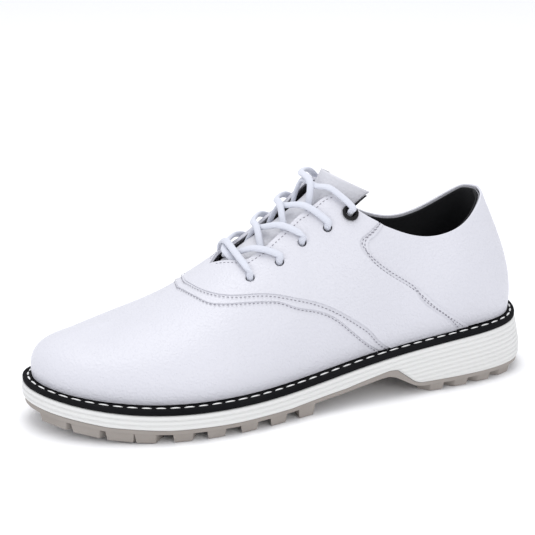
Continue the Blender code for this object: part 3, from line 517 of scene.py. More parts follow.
def midsole_top(a):
    """Height of the midsole's top, where the welt lies."""
    return spline(*zip(*MIDSOLE_TOP), a)


white_rubber = rubber("White midsole rubber", MIDSOLE_WHITE, 0.5, 1200, 0.00008, 0.1)


def midsole_wall():
    """The ribbed wall, closed by a wall on its inside."""
    pick = np.linspace(0, EDGE_POINTS, WALL_STATIONS, endpoint=False).astype(int)
    edge, inward = EDGE_LINE[pick], EDGE_INWARD[pick]
    top = midsole_top(edge[:, 0])
    thick = top - level(MIDSOLE_BOTTOM, edge[:, 0])

    def row(inset, flare, z):
        flat = edge + inward * np.broadcast_to(inset, WALL_STATIONS)[:, None]
        back = flare * (1 - smooth_step(flat[:, 0], 0, HEEL_FLARE_LENGTH))
        return np.column_stack([flat[:, 0] - back, flat[:, 1], z])

    rows = [row(WALL_IN, 0, top)]
    for depth in np.arange(0, WALL_DEEPEST, WALL_STEP):
        down = np.minimum(depth, thick)
        share = down / thick
        inset = level(WALL_SECTION, share)
        flare = np.interp(share, [0, 0.65, 1], [0, HEEL_FLARE - 0.5, HEEL_FLARE])
        wave = 0.5 + 0.5 * np.cos(2 * np.pi * (down - PLAIN_BAND) / RIB_PITCH)
        groove = RIB_DEEP * wave**3 * smooth_step(down, PLAIN_BAND - 0.8, PLAIN_BAND - 0.3)
        groove = groove * smooth_step(thick - down, 0.6, 1.4)
        rows.append(row(inset + groove, flare, top - down))
    rows.append(row(WALL_IN, HEEL_FLARE, top - thick))
    return np.stack(rows, 1)


def closed_band(name, rows, paint):
    """A closed band round the shoe from rows of points (station, place in the profile)."""
    stations, sides = rows.shape[:2]
    faces = []
    for i in range(stations):
        for j in range(sides):
            k, m = (j + 1) % sides, (i + 1) % stations
            faces.append((i * sides + j, i * sides + k, m * sides + k, m * sides + j))
    return mesh_object(name, place(rows.reshape(-1, 3)), faces, paint)


midsole = closed_band("midsole_ribbed", midsole_wall(), white_rubber)
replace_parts(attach(midsole, "shoe"), "midsole")

# ======== shank ========
# A flat strip of spring steel let into the top of the midsole under the arch, with rolled
# edges and a brushed face.
SHANK_COLOUR = (0.45, 0.46, 0.48)


def metal(name, colour, roughness, metallic, streak):
    """Metal, bare or enamelled: short rolling marks and an uneven shine."""
    made = bpy.data.materials.new(name)
    made.use_nodes = True
    nodes, links = made.node_tree.nodes, made.node_tree.links
    shader = nodes["Principled BSDF"]
    shader.label = "Metal"
    where = nodes.new("ShaderNodeTexCoord")
    where.label = "Place on the shoe"
    where.location = (-1200, 0)
    marks_frame = nodes.new("NodeFrame")
    marks_frame.label = "Rolling marks"
    stretch = nodes.new("ShaderNodeMapping")
    stretch.label = "Drawn out along the strip"
    stretch.location = (-1000, 0)
    stretch.parent = marks_frame
    marks = nodes.new("ShaderNodeTexNoise")
    marks.label = "Marks"
    marks.location = (-780, 0)
    marks.parent = marks_frame
    shine = nodes.new("ShaderNodeMapRange")
    shine.label = "Uneven shine"
    shine.location = (-520, 100)
    bump = nodes.new("ShaderNodeBump")
    bump.label = "Mark relief"
    bump.location = (-520, -200)
    stretch.inputs["Scale"].default_value = (streak, 1, 1)
    marks.inputs["Scale"].default_value = 900
    marks.inputs["Detail"].default_value = 5
    shine.inputs["To Min"].default_value = roughness - 0.08
    shine.inputs["To Max"].default_value = roughness + 0.12
    bump.inputs["Strength"].default_value = 0.3
    bump.inputs["Distance"].default_value = 0.00004
    shader.inputs["Base Color"].default_value = (*colour, 1)
    shader.inputs["Metallic"].default_value = metallic
    shader.inputs["Specular IOR Level"].default_value = 0.15 + 0.35 * metallic
    links.new(where.outputs["Object"], stretch.inputs["Vector"])
    links.new(stretch.outputs["Vector"], marks.inputs["Vector"])
    links.new(marks.outputs["Fac"], shine.inputs["Value"])
    links.new(marks.outputs["Fac"], bump.inputs["Height"])
    links.new(shine.outputs["Result"], shader.inputs["Roughness"])
    links.new(bump.outputs["Normal"], shader.inputs["Normal"])
    return made


def repaint(node, paint):
    """Gives a CAD node that stays in view its finish."""
    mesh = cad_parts[node].data
    mesh.materials.clear()
    mesh.materials.append(paint)


repaint("shank", metal("Shank steel", SHANK_COLOUR, 0.35, 1.0, 0.05))

# ======== welt and its seam ========
# A black rubber strip round the foot of the upper, with rounded edges and a shallow channel.
# One row of long white stitches in the channel sews it to the insole and the midsole.
WELT_THICK = 3.3
WELT_UNDER = 3.0
THREAD_PLACE = 0.58
WELT_BLACK = (0.004, 0.004, 0.005)
THREAD_WHITE = (0.86, 0.86, 0.85)
WELT_STATIONS = 480
CHANNEL_HALF = 0.9
CHANNEL_DEEP = 0.35
# The thread's line stands this far over the floor of the channel.
THREAD_RISE = 0.2
# Pitch, and length, width and height of one stitch.
WELT_STITCH = (7.4, 5.8, 1.15, 0.8)


def welt_width(a):
    """How far the welt shows outside the upper."""
    return 4.3 + 2.4 * smooth_step(a, 8, 55) - 1.5 * smooth_step(a, 255, 292)


black_rubber = rubber("Black welt rubber", WELT_BLACK, 0.42, 1400, 0.00006, 0.015)


def thread_paint(name, colour, twist):
    """Twisted thread or braid: slanting strands with a soft sheen and a little fluff."""
    made = bpy.data.materials.new(name)
    made.use_nodes = True
    nodes, links = made.node_tree.nodes, made.node_tree.links
    shader = nodes["Principled BSDF"]
    shader.label = "Thread"
    where = nodes.new("ShaderNodeTexCoord")
    where.label = "Place on the shoe"
    where.location = (-1200, 0)
    strand_frame = nodes.new("NodeFrame")
    strand_frame.label = "Strands"
    strands = nodes.new("ShaderNodeTexWave")
    strands.label = "Slanting strands"
    strands.wave_type = "BANDS"
    strands.bands_direction = "DIAGONAL"
    strands.location = (-900, 100)
    strands.parent = strand_frame
    fluff = nodes.new("ShaderNodeTexNoise")
    fluff.label = "Fluff"
    fluff.location = (-900, -250)
    fluff.parent = strand_frame
    shade = nodes.new("ShaderNodeMix")
    shade.label = "Shade between strands"
    shade.data_type = "RGBA"
    shade.location = (-500, 200)
    height = nodes.new("ShaderNodeMath")
    height.label = "Strands with fluff"
    height.operation = "ADD"
    height.location = (-650, -100)
    height.parent = strand_frame
    bump = nodes.new("ShaderNodeBump")
    bump.label = "Strand relief"
    bump.location = (-350, -200)
    strands.inputs["Scale"].default_value = twist
    strands.inputs["Distortion"].default_value = 0.6
    fluff.inputs["Scale"].default_value = 3500
    shade.inputs["A"].default_value = (*[c * 0.86 for c in colour], 1)
    shade.inputs["B"].default_value = (*colour, 1)
    bump.inputs["Strength"].default_value = 0.5
    bump.inputs["Distance"].default_value = 0.00012
    shader.inputs["Roughness"].default_value = 0.78
    shader.inputs["Sheen Weight"].default_value = 0.25
    shader.inputs["Sheen Roughness"].default_value = 0.5
    links.new(where.outputs["Object"], strands.inputs["Vector"])
    links.new(where.outputs["Object"], fluff.inputs["Vector"])
    links.new(strands.outputs["Fac"], shade.inputs["Factor"])
    links.new(strands.outputs["Fac"], height.inputs[0])
    links.new(fluff.outputs["Fac"], height.inputs[1])
    links.new(height.outputs["Value"], bump.inputs["Height"])
    links.new(shade.outputs["Result"], shader.inputs["Base Color"])
    links.new(bump.outputs["Normal"], shader.inputs["Normal"])
    return made


def stitch_tree():
    """Geometry nodes that lay stitches along the edges of a guide, each turned to the guide's
    direction and standing on the face whose outward direction the guide carries."""
    tree = bpy.data.node_groups.new("Stitches along a seam", "GeometryNodeTree")
    face = tree.interface
    face.new_socket("Geometry", in_out="INPUT", socket_type="NodeSocketGeometry")
    face.new_socket("Pitch", in_out="INPUT", socket_type="NodeSocketFloat")
    face.new_socket("Length", in_out="INPUT", socket_type="NodeSocketFloat")
    face.new_socket("Width", in_out="INPUT", socket_type="NodeSocketFloat")
    face.new_socket("Height", in_out="INPUT", socket_type="NodeSocketFloat")
    face.new_socket("Thread", in_out="INPUT", socket_type="NodeSocketMaterial")
    face.new_socket("Geometry", in_out="OUTPUT", socket_type="NodeSocketGeometry")
    nodes, links = tree.nodes, tree.links
    sizes = nodes.new("NodeGroupInput")
    sizes.location = (-1000, 0)
    result = nodes.new("NodeGroupOutput")
    result.location = (1000, 0)
    path = nodes.new("GeometryNodeMeshToCurve")
    path.label = "Guide as a path"
    path.location = (-750, 150)
    spaced = nodes.new("GeometryNodeResampleCurve")
    spaced.label = "One point for each stitch"
    spaced.location = (-550, 150)
    stitch = nodes.new("GeometryNodeMeshUVSphere")
    stitch.label = "Rounded stitch"
    stitch.location = (-550, -300)
    way = nodes.new("GeometryNodeInputTangent")
    way.label = "Direction of the seam"
    way.location = (-550, -100)
    outward = nodes.new("GeometryNodeInputNamedAttribute")
    outward.label = "Outward direction"
    outward.location = (-350, -350)
    along_seam = nodes.new("FunctionNodeAlignRotationToVector")
    along_seam.label = "Laid along the seam"
    along_seam.location = (-350, -100)
    upright = nodes.new("FunctionNodeAlignRotationToVector")
    upright.label = "Flat on the leather"
    upright.location = (-150, -100)
    vary = nodes.new("FunctionNodeRandomValue")
    vary.label = "Uneven length"
    vary.location = (-350, -550)
    long = nodes.new("ShaderNodeMath")
    long.label = "Length of this stitch"
    long.location = (-150, -450)
    size = nodes.new("ShaderNodeCombineXYZ")
    size.label = "Size of this stitch"
    size.location = (50, -300)
    copies = nodes.new("GeometryNodeInstanceOnPoints")
    copies.label = "Stitches"
    copies.location = (300, 100)
    real = nodes.new("GeometryNodeRealizeInstances")
    real.label = "Real stitches"
    real.location = (500, 100)
    smooth = nodes.new("GeometryNodeSetShadeSmooth")
    smooth.label = "Smooth"
    smooth.location = (650, 100)
    dyed = nodes.new("GeometryNodeSetMaterial")
    dyed.label = "Thread"
    dyed.location = (800, 100)
    spaced.mode = "LENGTH"
    stitch.inputs["Segments"].default_value = 8
    stitch.inputs["Rings"].default_value = 5
    stitch.inputs["Radius"].default_value = 0.5
    outward.data_type = "FLOAT_VECTOR"
    outward.inputs["Name"].default_value = "outward"
    along_seam.axis = "X"
    upright.axis = "Z"
    upright.pivot_axis = "X"
    vary.inputs[2].default_value = 0.93
    vary.inputs[3].default_value = 1.05
    vary.inputs["Seed"].default_value = 7
    long.operation = "MULTIPLY"
    links.new(sizes.outputs["Geometry"], path.inputs["Mesh"])
    links.new(path.outputs["Curve"], spaced.inputs["Curve"])
    links.new(sizes.outputs["Pitch"], spaced.inputs["Length"])
    links.new(way.outputs["Tangent"], along_seam.inputs["Vector"])
    links.new(along_seam.outputs["Rotation"], upright.inputs["Rotation"])
    links.new(outward.outputs["Attribute"], upright.inputs["Vector"])
    links.new(sizes.outputs["Length"], long.inputs[0])
    links.new(vary.outputs[1], long.inputs[1])
    links.new(long.outputs["Value"], size.inputs["X"])
    links.new(sizes.outputs["Width"], size.inputs["Y"])
    links.new(sizes.outputs["Height"], size.inputs["Z"])
    links.new(spaced.outputs["Curve"], copies.inputs["Points"])
    links.new(stitch.outputs["Mesh"], copies.inputs["Instance"])
    links.new(upright.outputs["Rotation"], copies.inputs["Rotation"])
    links.new(size.outputs["Vector"], copies.inputs["Scale"])
    links.new(copies.outputs["Instances"], real.inputs["Geometry"])
    links.new(real.outputs["Geometry"], smooth.inputs["Geometry"])
    links.new(smooth.outputs["Geometry"], dyed.inputs["Geometry"])
    links.new(sizes.outputs["Thread"], dyed.inputs["Material"])
    links.new(dyed.outputs["Geometry"], result.inputs["Geometry"])
    return tree


STITCHES = stitch_tree()


def stitch_rows(name, rows, sizes, thread):
    """Stitches along rows of (points, outward directions). Sizes are the pitch, and the
    length, width and height of one stitch."""
    mesh = bpy.data.meshes.new(name)
    points, edges, outward = [], [], []
    for line, normals in rows:
        start = len(points)
        points.extend(place(line))
        outward.extend(np.asarray(normals) * (-1, 1, 1))
        edges.extend((start + i, start + i + 1) for i in range(len(line) - 1))
    mesh.from_pydata([tuple(point) for point in points], edges, [])
    carried = mesh.attributes.new("outward", "FLOAT_VECTOR", "POINT")
    carried.data.foreach_set("vector", np.asarray(outward, float).ravel())
    obj = bpy.data.objects.new(name, mesh)
    bpy.context.scene.collection.objects.link(obj)
    sewn = obj.modifiers.new("Stitches", "NODES")
    sewn.node_group = STITCHES
    values = [length * MM for length in sizes] + [thread]
    names = ["Pitch", "Length", "Width", "Height", "Thread"]
    for socket in STITCHES.interface.items_tree:
        if socket.in_out == "INPUT" and socket.name in names:
            sewn[socket.identifier] = values[names.index(socket.name)]
    return plain(obj)


def welt_rows():
    """The strip's section, as (inset, height over the midsole), carried round the edge."""
    pick = np.linspace(0, EDGE_POINTS, WELT_STATIONS, endpoint=False).astype(int)
    width = welt_width(EDGE_LINE[pick, 0])
    seam_at = width * THREAD_PLACE
    profile = [
        (0.5, GAP), (0.15, 0.6), (0.0, 1.1), (0.0, WELT_THICK - 1.1), (0.12, WELT_THICK - 0.6),
        (0.4, WELT_THICK - 0.2), (0.9, WELT_THICK), (seam_at - CHANNEL_HALF, WELT_THICK),
        (seam_at - CHANNEL_HALF + 0.3, WELT_THICK - CHANNEL_DEEP),
        (seam_at + CHANNEL_HALF - 0.3, WELT_THICK - CHANNEL_DEEP),
        (seam_at + CHANNEL_HALF, WELT_THICK), (width - 0.4, WELT_THICK),
        (width + WELT_UNDER, WELT_THICK - 0.2), (width + WELT_UNDER, GAP),
    ]
    rows = []
    for inset, height in profile:
        flat = EDGE_LINE[pick] + EDGE_INWARD[pick] * np.broadcast_to(inset, len(pick))[:, None]
        rows.append(np.column_stack([flat, midsole_top(flat[:, 0]) + height]))
    return np.stack(rows, 1)


welt = closed_band("welt_strip", welt_rows(), black_rubber)
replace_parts(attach(welt, "shoe"), "welt")

white_thread = thread_paint("White seam thread", THREAD_WHITE, 900)
seam_width = welt_width(EDGE_LINE[:, 0]) * THREAD_PLACE
seam_flat = EDGE_LINE + EDGE_INWARD * seam_width[:, None]
seam_height = WELT_THICK - CHANNEL_DEEP + THREAD_RISE
seam_line = np.column_stack([seam_flat, midsole_top(seam_flat[:, 0]) + seam_height])
seam_up = np.tile((0, 0, 1.0), (len(seam_line), 1))
welt_seam = stitch_rows("welt_stitches", [(seam_line, seam_up)], WELT_STITCH, white_thread)
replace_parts(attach(welt_seam, "shoe"), "welt_thread")

# ======== insole board and stiffeners ========
# A stiff fibreboard that the upper is lasted round, a thin puff inside the toe and a cupped
# counter round the heel. They are cemented in and hidden.


def fibre(name, colour, roughness, scale, relief):
    """Pressed fibre or foam: short tangled fibres, small pits and a blotchy colour."""
    made = bpy.data.materials.new(name)
    made.use_nodes = True
    nodes, links = made.node_tree.nodes, made.node_tree.links
    shader = nodes["Principled BSDF"]
    shader.label = "Pressed fibre"
    where = nodes.new("ShaderNodeTexCoord")
    where.label = "Place on the shoe"
    where.location = (-1100, 0)
    colour_frame = nodes.new("NodeFrame")
    colour_frame.label = "Blotches"
    blotch = nodes.new("ShaderNodeTexNoise")
    blotch.label = "Blotches"
    blotch.location = (-850, 200)
    blotch.parent = colour_frame
    tint = nodes.new("ShaderNodeMix")
    tint.label = "Light and dark fibre"
    tint.data_type = "RGBA"
    tint.location = (-550, 200)
    tint.parent = colour_frame
    pits = nodes.new("ShaderNodeTexVoronoi")
    pits.label = "Fibres and pits"
    pits.location = (-850, -200)
    bump = nodes.new("ShaderNodeBump")
    bump.label = "Fibre relief"
    bump.location = (-500, -200)
    blotch.inputs["Scale"].default_value = scale * 0.4
    blotch.inputs["Detail"].default_value = 8
    pits.inputs["Scale"].default_value = scale
    tint.inputs["A"].default_value = (*[c * 0.7 for c in colour], 1)
    tint.inputs["B"].default_value = (*colour, 1)
    bump.inputs["Strength"].default_value = 0.6
    bump.inputs["Distance"].default_value = relief
    shader.inputs["Roughness"].default_value = roughness
    links.new(where.outputs["Object"], blotch.inputs["Vector"])
    links.new(where.outputs["Object"], pits.inputs["Vector"])
    links.new(blotch.outputs["Fac"], tint.inputs["Factor"])
    links.new(pits.outputs["Distance"], bump.inputs["Height"])
    links.new(tint.outputs["Result"], shader.inputs["Base Color"])
    links.new(bump.outputs["Normal"], shader.inputs["Normal"])
    return made


BOARD_BROWN = (0.42, 0.30, 0.18)
COUNTER_BUFF = (0.50, 0.42, 0.30)
repaint("insole_board", fibre("Insole fibreboard", BOARD_BROWN, 0.85, 900, 0.0002))
counter_fibre = fibre("Counter fibre", COUNTER_BUFF, 0.8, 700, 0.00015)
repaint("toe_puff", counter_fibre)
repaint("heel_counter", counter_fibre)

# ======== footbed ========
# A loose pad of soft foam under black knit, cut to lie inside the upper. It lifts about its
# toe end.
BOARD_THICK = 2.5
FOOTBED_THICK = 4.0
KNIT_BLACK = (0.005, 0.005, 0.006)


def knit(name, colour, loops):
    """Fine knitted cloth: rows of small loops with a soft bloom on top."""
    made = bpy.data.materials.new(name)
    made.use_nodes = True
    nodes, links = made.node_tree.nodes, made.node_tree.links
    shader = nodes["Principled BSDF"]
    shader.label = "Knit"
    where = nodes.new("ShaderNodeTexCoord")
    where.label = "Place on the shoe"
    where.location = (-1300, 0)
    loops_frame = nodes.new("NodeFrame")
    loops_frame.label = "Loops"
    courses = nodes.new("ShaderNodeTexWave")
    courses.label = "Rows of loops"
    courses.bands_direction = "Z"
    courses.location = (-1000, 150)
    courses.parent = loops_frame
    wales = nodes.new("ShaderNodeTexWave")
    wales.label = "Columns of loops"
    wales.bands_direction = "X"
    wales.location = (-1000, -150)
    wales.parent = loops_frame
    loop = nodes.new("ShaderNodeMath")
    loop.label = "Loops"
    loop.operation = "MULTIPLY"
    loop.location = (-750, 0)
    loop.parent = loops_frame
    lint = nodes.new("ShaderNodeTexNoise")
    lint.label = "Lint"
    lint.location = (-1000, -450)
    tint = nodes.new("ShaderNodeMix")
    tint.label = "Knit with lint"
    tint.data_type = "RGBA"
    tint.location = (-450, 200)
    bump = nodes.new("ShaderNodeBump")
    bump.label = "Loop relief"
    bump.location = (-400, -200)
    courses.inputs["Scale"].default_value = loops
    courses.inputs["Distortion"].default_value = 0.8
    wales.inputs["Scale"].default_value = loops
    wales.inputs["Distortion"].default_value = 0.8
    lint.inputs["Scale"].default_value = 700
    lint.inputs["Detail"].default_value = 6
    tint.inputs["A"].default_value = (*colour, 1)
    tint.inputs["B"].default_value = (*[c * 2.2 + 0.004 for c in colour], 1)
    bump.inputs["Strength"].default_value = 0.6
    bump.inputs["Distance"].default_value = 0.0002
    shader.inputs["Roughness"].default_value = 0.9
    shader.inputs["Specular IOR Level"].default_value = 0.2
    shader.inputs["Sheen Weight"].default_value = 0.08
    for texture in (courses, wales, lint):
        links.new(where.outputs["Object"], texture.inputs["Vector"])
    links.new(courses.outputs["Fac"], loop.inputs[0])
    links.new(wales.outputs["Fac"], loop.inputs[1])
    links.new(lint.outputs["Fac"], tint.inputs["Factor"])
    links.new(loop.outputs["Value"], bump.inputs["Height"])
    links.new(tint.outputs["Result"], shader.inputs["Base Color"])
    links.new(bump.outputs["Normal"], shader.inputs["Normal"])
    return made


black_knit = knit("Black knit lining", KNIT_BLACK, 500)
under_width = welt_width(EDGE_LINE[:, 0])
footbed_base = 2 * GAP + BOARD_THICK
footbed_top = footbed_base + FOOTBED_THICK
footbed = plate(
    "footbed_pad",
    [
        (inset_line(under_width + 7.2), lambda a: midsole_top(a) + footbed_top),
        (inset_line(under_width + 6.0), lambda a: midsole_top(a) + footbed_top - 0.3),
        (inset_line(under_width + 5.2), lambda a: midsole_top(a) + footbed_top - 1.4),
        (inset_line(under_width + 5.6), lambda a: midsole_top(a) + footbed_base),
    ],
    black_knit,
    columns=13,
)
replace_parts(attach(footbed, "loose_footbed"), "footbed")

# ======== collar padding and linings ========
# Grey foam round the collar, a black knit lining over it down to the insole, and a white
# lining inside the toe. They are sewn to the leather at the collar and lasted in below.
# u, then the top of the section: a, half-width of the collar, z; then the curve that rises
# from the welt: rise and outward lean at the bottom, reach and drop at the top.
SECTIONS = np.array([
    (0.00, 28.0, 0.0, 105.0, 26, 4.0, 8.0, 22),
    (0.06, 31.0, 10.0, 104.0, 25, 4.0, 8.0, 20),
    (0.12, 37.0, 17.0, 99.5, 24, 3.0, 7.5, 18),
    (0.19, 51.0, 24.0, 90.0, 21, 2.5, 6.0, 18),
    (0.26, 71.0, 24.5, 85.5, 19, 2.5, 6.0, 18),
    (0.33, 92.5, 24.5, 91.7, 20, 2.0, 9.0, 19),
    (0.385, 111.5, 21.0, 102.5, 24, 1.0, 14.0, 14),
    (0.43, 124.0, 11.0, 111.5, 28, 0.0, 16.0, 5),
    (0.48, 141.0, 0.0, 108.5, 30, 0.5, 18.0, 0),
    (0.55, 164.0, 0.0, 92.2, 28, 1.5, 20.0, 0),
    (0.62, 188.0, 0.0, 76.5, 26, 3.0, 23.0, 0),
    (0.70, 211.0, 0.0, 63.7, 22, 4.0, 27.0, 0),
    (0.80, 232.0, 0.0, 56.0, 21, 4.5, 26.0, 0),
    (0.90, 244.0, 0.0, 52.0, 21, 4.5, 28.0, 0),
    (1.00, 250.0, 0.0, 51.0, 20, 4.0, 26.0, 0),
])
# The line of the ridge over the foot, as (a, y).
RIDGE_Y = [
    (0, 0), (60, 0), (93, 3.5), (124, 7.5), (150, 8), (180, 5.5), (215, 4), (250, 4), (300, 4),
]
MEDIAL_LIFT = 4.0
MEDIAL_NARROWING = 0.28
LEAST_SPREAD = 22.0
FOOT_GAP = 0.5
# Seams on the skin, as (t, u): u runs along the welt from heel to toe, t from welt to top.
SADDLE_SEAM = [
    (0, 0.335), (0.12, 0.362), (0.24, 0.397), (0.30, 0.44), (0.36, 0.483), (0.45, 0.53),
    (0.53, 0.567), (0.60, 0.603), (0.68, 0.631), (0.77, 0.650), (0.87, 0.663), (1, 0.672),
]
SHELF_T, SHELF_ROWS = 0.70, 0.75
# The foam fills the collar from the heel to this u, between these heights.
COLLAR_END_U = 0.32
COLLAR_FOOT_T, COLLAR_TOP_T = 0.60, 0.985
# Layers of the upper: height of the outer face over the skin, and thickness.
LINING_LAYER = (-3.25, 0.7)
PADDING_LAYER = (-2.0, 0.7)
# Each piece runs on past its seam by this much of u, so that neighbours meet.
SEAM_PAST_U = 0.0016
FOAM_GREY = (0.25, 0.25, 0.27)
LINING_WHITE = (0.78, 0.78, 0.80)


def skin(side, u, t):
    """Points of the upper's skin."""
    u, t = np.broadcast_arrays(np.asarray(u, float), np.asarray(t, float))
    edge = half_line(inset_line(welt_width(EDGE_LINE[:, 0])), side)
    foot = along(edge, u)
    foot = np.concatenate([foot, (midsole_top(foot[..., 0]) + WELT_THICK + FOOT_GAP)[..., None]], -1)
    a, half, z, rise, lean, reach, drop = np.moveaxis(spline(SECTIONS[:, 0], SECTIONS[:, 1:], u), -1, 0)
    half = np.maximum(half, 0) * (1 - smooth_step(u, 0.47, 0.485))
    if side == MEDIAL:
        z = z + MEDIAL_LIFT * smooth_step(a, 85, 125) * smooth_step(half, 0, 12)
        half = half * (1 - MEDIAL_NARROWING * smooth_step(a, 75, 115))
    top = np.stack([a, spline(*zip(*RIDGE_Y), a) + side * half, z], -1)
    down = (foot - top) * (1, 1, 0)
    spread = LEAST_SPREAD * smooth_step(u, 0.2, 0.3) * (1 - smooth_step(u, 0.5, 0.6))
    spread = np.where(spread > 0, spread, side * down[..., 1])
    down[..., 1] = side * np.maximum(side * down[..., 1], spread)
    down /= np.linalg.norm(down, axis=-1)[..., None]
    up = np.array((0, 0, 1.0))
    rise_point = foot + up * rise[..., None] + down * lean[..., None]
    tip = down + up * (ridge_slope(u) * down[..., 0])[..., None]
    reach_point = top + tip * reach[..., None] - up * drop[..., None]
    t = t[..., None]
    return (
        foot * (1 - t) ** 3
        + rise_point * 3 * t * (1 - t) ** 2
        + reach_point * 3 * t**2 * (1 - t)
        + top * t**3
    )


def ridge_slope(u):
    """Slope of the instep's ridge, blended in ahead of the collar."""
    ahead = spline(SECTIONS[:, 0], SECTIONS[:, [1, 3]], u + 0.01)
    behind = spline(SECTIONS[:, 0], SECTIONS[:, [1, 3]], u - 0.01)
    run = np.maximum(ahead[..., 0] - behind[..., 0], 0.2)
    return (ahead[..., 1] - behind[..., 1]) / run * smooth_step(u, 0.46, 0.52)


def skin_normal(side, u, t):
    """Outward normals of the skin. Where the two sides meet they share one normal."""
    u, t = np.broadcast_arrays(np.asarray(u, float), np.asarray(t, float))
    step = 0.002
    inside = np.minimum(t, 1 - step)
    across = skin(side, np.minimum(u + step, 1), inside) - skin(side, np.maximum(u - step, 0), inside)
    upward = skin(side, u, inside + step / 2) - skin(side, u, np.maximum(inside - step / 2, 0))
    normal = np.cross(upward, across) * side
    normal /= np.linalg.norm(normal, axis=-1)[..., None]
    slope = ridge_slope(u)
    crest = np.stack([-slope, 0 * slope, 1 + 0 * slope], -1)
    crest /= np.linalg.norm(crest, axis=-1)[..., None]
    share = (smooth_step(t, 0.97, 1.0) * smooth_step(u, 0.47, 0.52))[..., None]
    normal = normal * (1 - share) + crest * share
    # At the middle of the heel and of the toe the two sides meet in one section.
    down = (skin(side, u, 0 * t) - skin(side, u, 0 * t + 1)) * (1, 1, 0)
    sideways = np.cross(down / np.linalg.norm(down, axis=-1)[..., None], (0, 0, 1.0))
    ends = 1 - smooth_step(u, 0.0, 0.01) + smooth_step(u, 0.99, 1.0)
    tilt = (normal * sideways).sum(-1) * ends
    normal = normal - sideways * tilt[..., None]
    return normal / np.linalg.norm(normal, axis=-1)[..., None]


def over_skin(side, u, t, height):
    """Points that stand this high over the skin."""
    return skin(side, u, t) + skin_normal(side, u, t) * height


def seam(keys, t):
    """The u of a seam at t."""
    return spline(*zip(*keys), t)


def patch(side, u_from, u_to, columns, rows, t_from=None, t_to=None, crowding=1.0, shelf=0.0):
    """A grid of (u, t) between two seams. t_from and t_to are functions of u. Crowding over 1
    sets the columns closer towards the toe. Below the shelf the rows keep to even t."""
    share = (1 - (1 - np.linspace(0, 1, columns + 1)) ** crowding)[None, :]
    height = np.linspace(0, 1, rows + 1)[:, None]
    upper = np.maximum(height - SHELF_ROWS, 0) / (1 - SHELF_ROWS)
    lower = np.minimum(height, SHELF_ROWS) / SHELF_ROWS
    low = t_from or (lambda u: 0 * u)
    high = t_to or (lambda u: 0 * u + 1)
    t = height + 0 * share
    for _ in range(60):
        u = u_from(t) * (1 - share) + u_to(t) * share
        found = low(u) + (high(u) - low(u)) * height
        if shelf:
            found = shelf * lower + (high(u) - shelf) * upper
        t = t * 0.7 + found * 0.3
    return side, u, t


def between(low, high):
    """Two seam functions from constants or seam keys, each run on past its seam."""
    made = []
    for keys, shift in ((low, -SEAM_PAST_U), (high, SEAM_PAST_U)):
        if isinstance(keys, (int, float)):
            made.append(lambda t, value=keys: value + 0 * t)
        else:
            made.append(lambda t, values=keys, move=shift: seam(values, t) + move)
    return made


def upper_piece(name, patches, layer, paint, edge=0.0, punches=None):
    """A piece of leather or cloth: patches of the skin lifted by the layer's height, made
    thick inwards, with its cut edges eased by the given radius and its holes punched."""
    height, thickness = layer
    made = bmesh.new()
    for side, u, t in patches:
        points = place(over_skin(side, u, t, height))
        rows, columns = u.shape
        corners = [made.verts.new(point) for point in points.reshape(-1, 3)]
        for face in grid_faces(rows, columns):
            loop = [corners[i] for i in face]
            made.faces.new(loop if side == MEDIAL else loop[::-1])
    bmesh.ops.remove_doubles(made, verts=made.verts, dist=2e-5)
    bmesh.ops.dissolve_degenerate(made, edges=made.edges, dist=1e-5)
    mesh = bpy.data.meshes.new(name)
    made.to_mesh(mesh)
    made.free()
    mesh.polygons.foreach_set("use_smooth", [True] * len(mesh.polygons))
    mesh.materials.append(paint)
    obj = bpy.data.objects.new(name, mesh)
    bpy.context.scene.collection.objects.link(obj)
    thicken = obj.modifiers.new("Thickness", "SOLIDIFY")
    thicken.thickness = thickness * MM
    thicken.offset = -1
    if edge:
        ease = obj.modifiers.new("Eased edge", "BEVEL")
        ease.width = edge * MM
        ease.segments = 3
        ease.limit_method = "ANGLE"
        ease.angle_limit = np.radians(50)
    for punch in punches or []:
        cut = obj.modifiers.new("Holes", "BOOLEAN")
        cut.operation = "DIFFERENCE"
        cut.solver = "EXACT"
        cut.object = punch
    return plain(obj)


foam = fibre("Grey foam", FOAM_GREY, 0.9, 1500, 0.0002)
collar_patches = [
    patch(
        side, *between(0.0, COLLAR_END_U), 48, 16,
        t_from=lambda u: 0 * u + COLLAR_FOOT_T, t_to=lambda u: 0 * u + COLLAR_TOP_T,
    )
    for side in SIDES
]
collar = upper_piece("collar_foam", collar_patches, PADDING_LAYER, foam, 0.2)
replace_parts(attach(collar, "shoe"), "collar_padding")


def lining_top(u):
    """The quarter lining reaches the collar, and stops under the eyelet backing."""
    return 0.992 - 0.532 * smooth_step(u, 0.335, 0.375)


white_knit = knit("White toe lining", LINING_WHITE, 450)
toe_patches = [patch(side, *between(SADDLE_SEAM, 1.0), 40, 36, crowding=1.3) for side in SIDES]
toe_lining = upper_piece("toe_lining_cloth", toe_patches, LINING_LAYER, white_knit)
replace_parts(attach(toe_lining, "shoe"), "vamp_lining")
rear_patches = [patch(side, *between(0.0, SADDLE_SEAM), 60, 30, t_to=lining_top) for side in SIDES]
rear_lining = upper_piece("rear_lining_cloth", rear_patches, LINING_LAYER, black_knit)
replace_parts(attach(rear_lining, "shoe"), "quarter_lining")

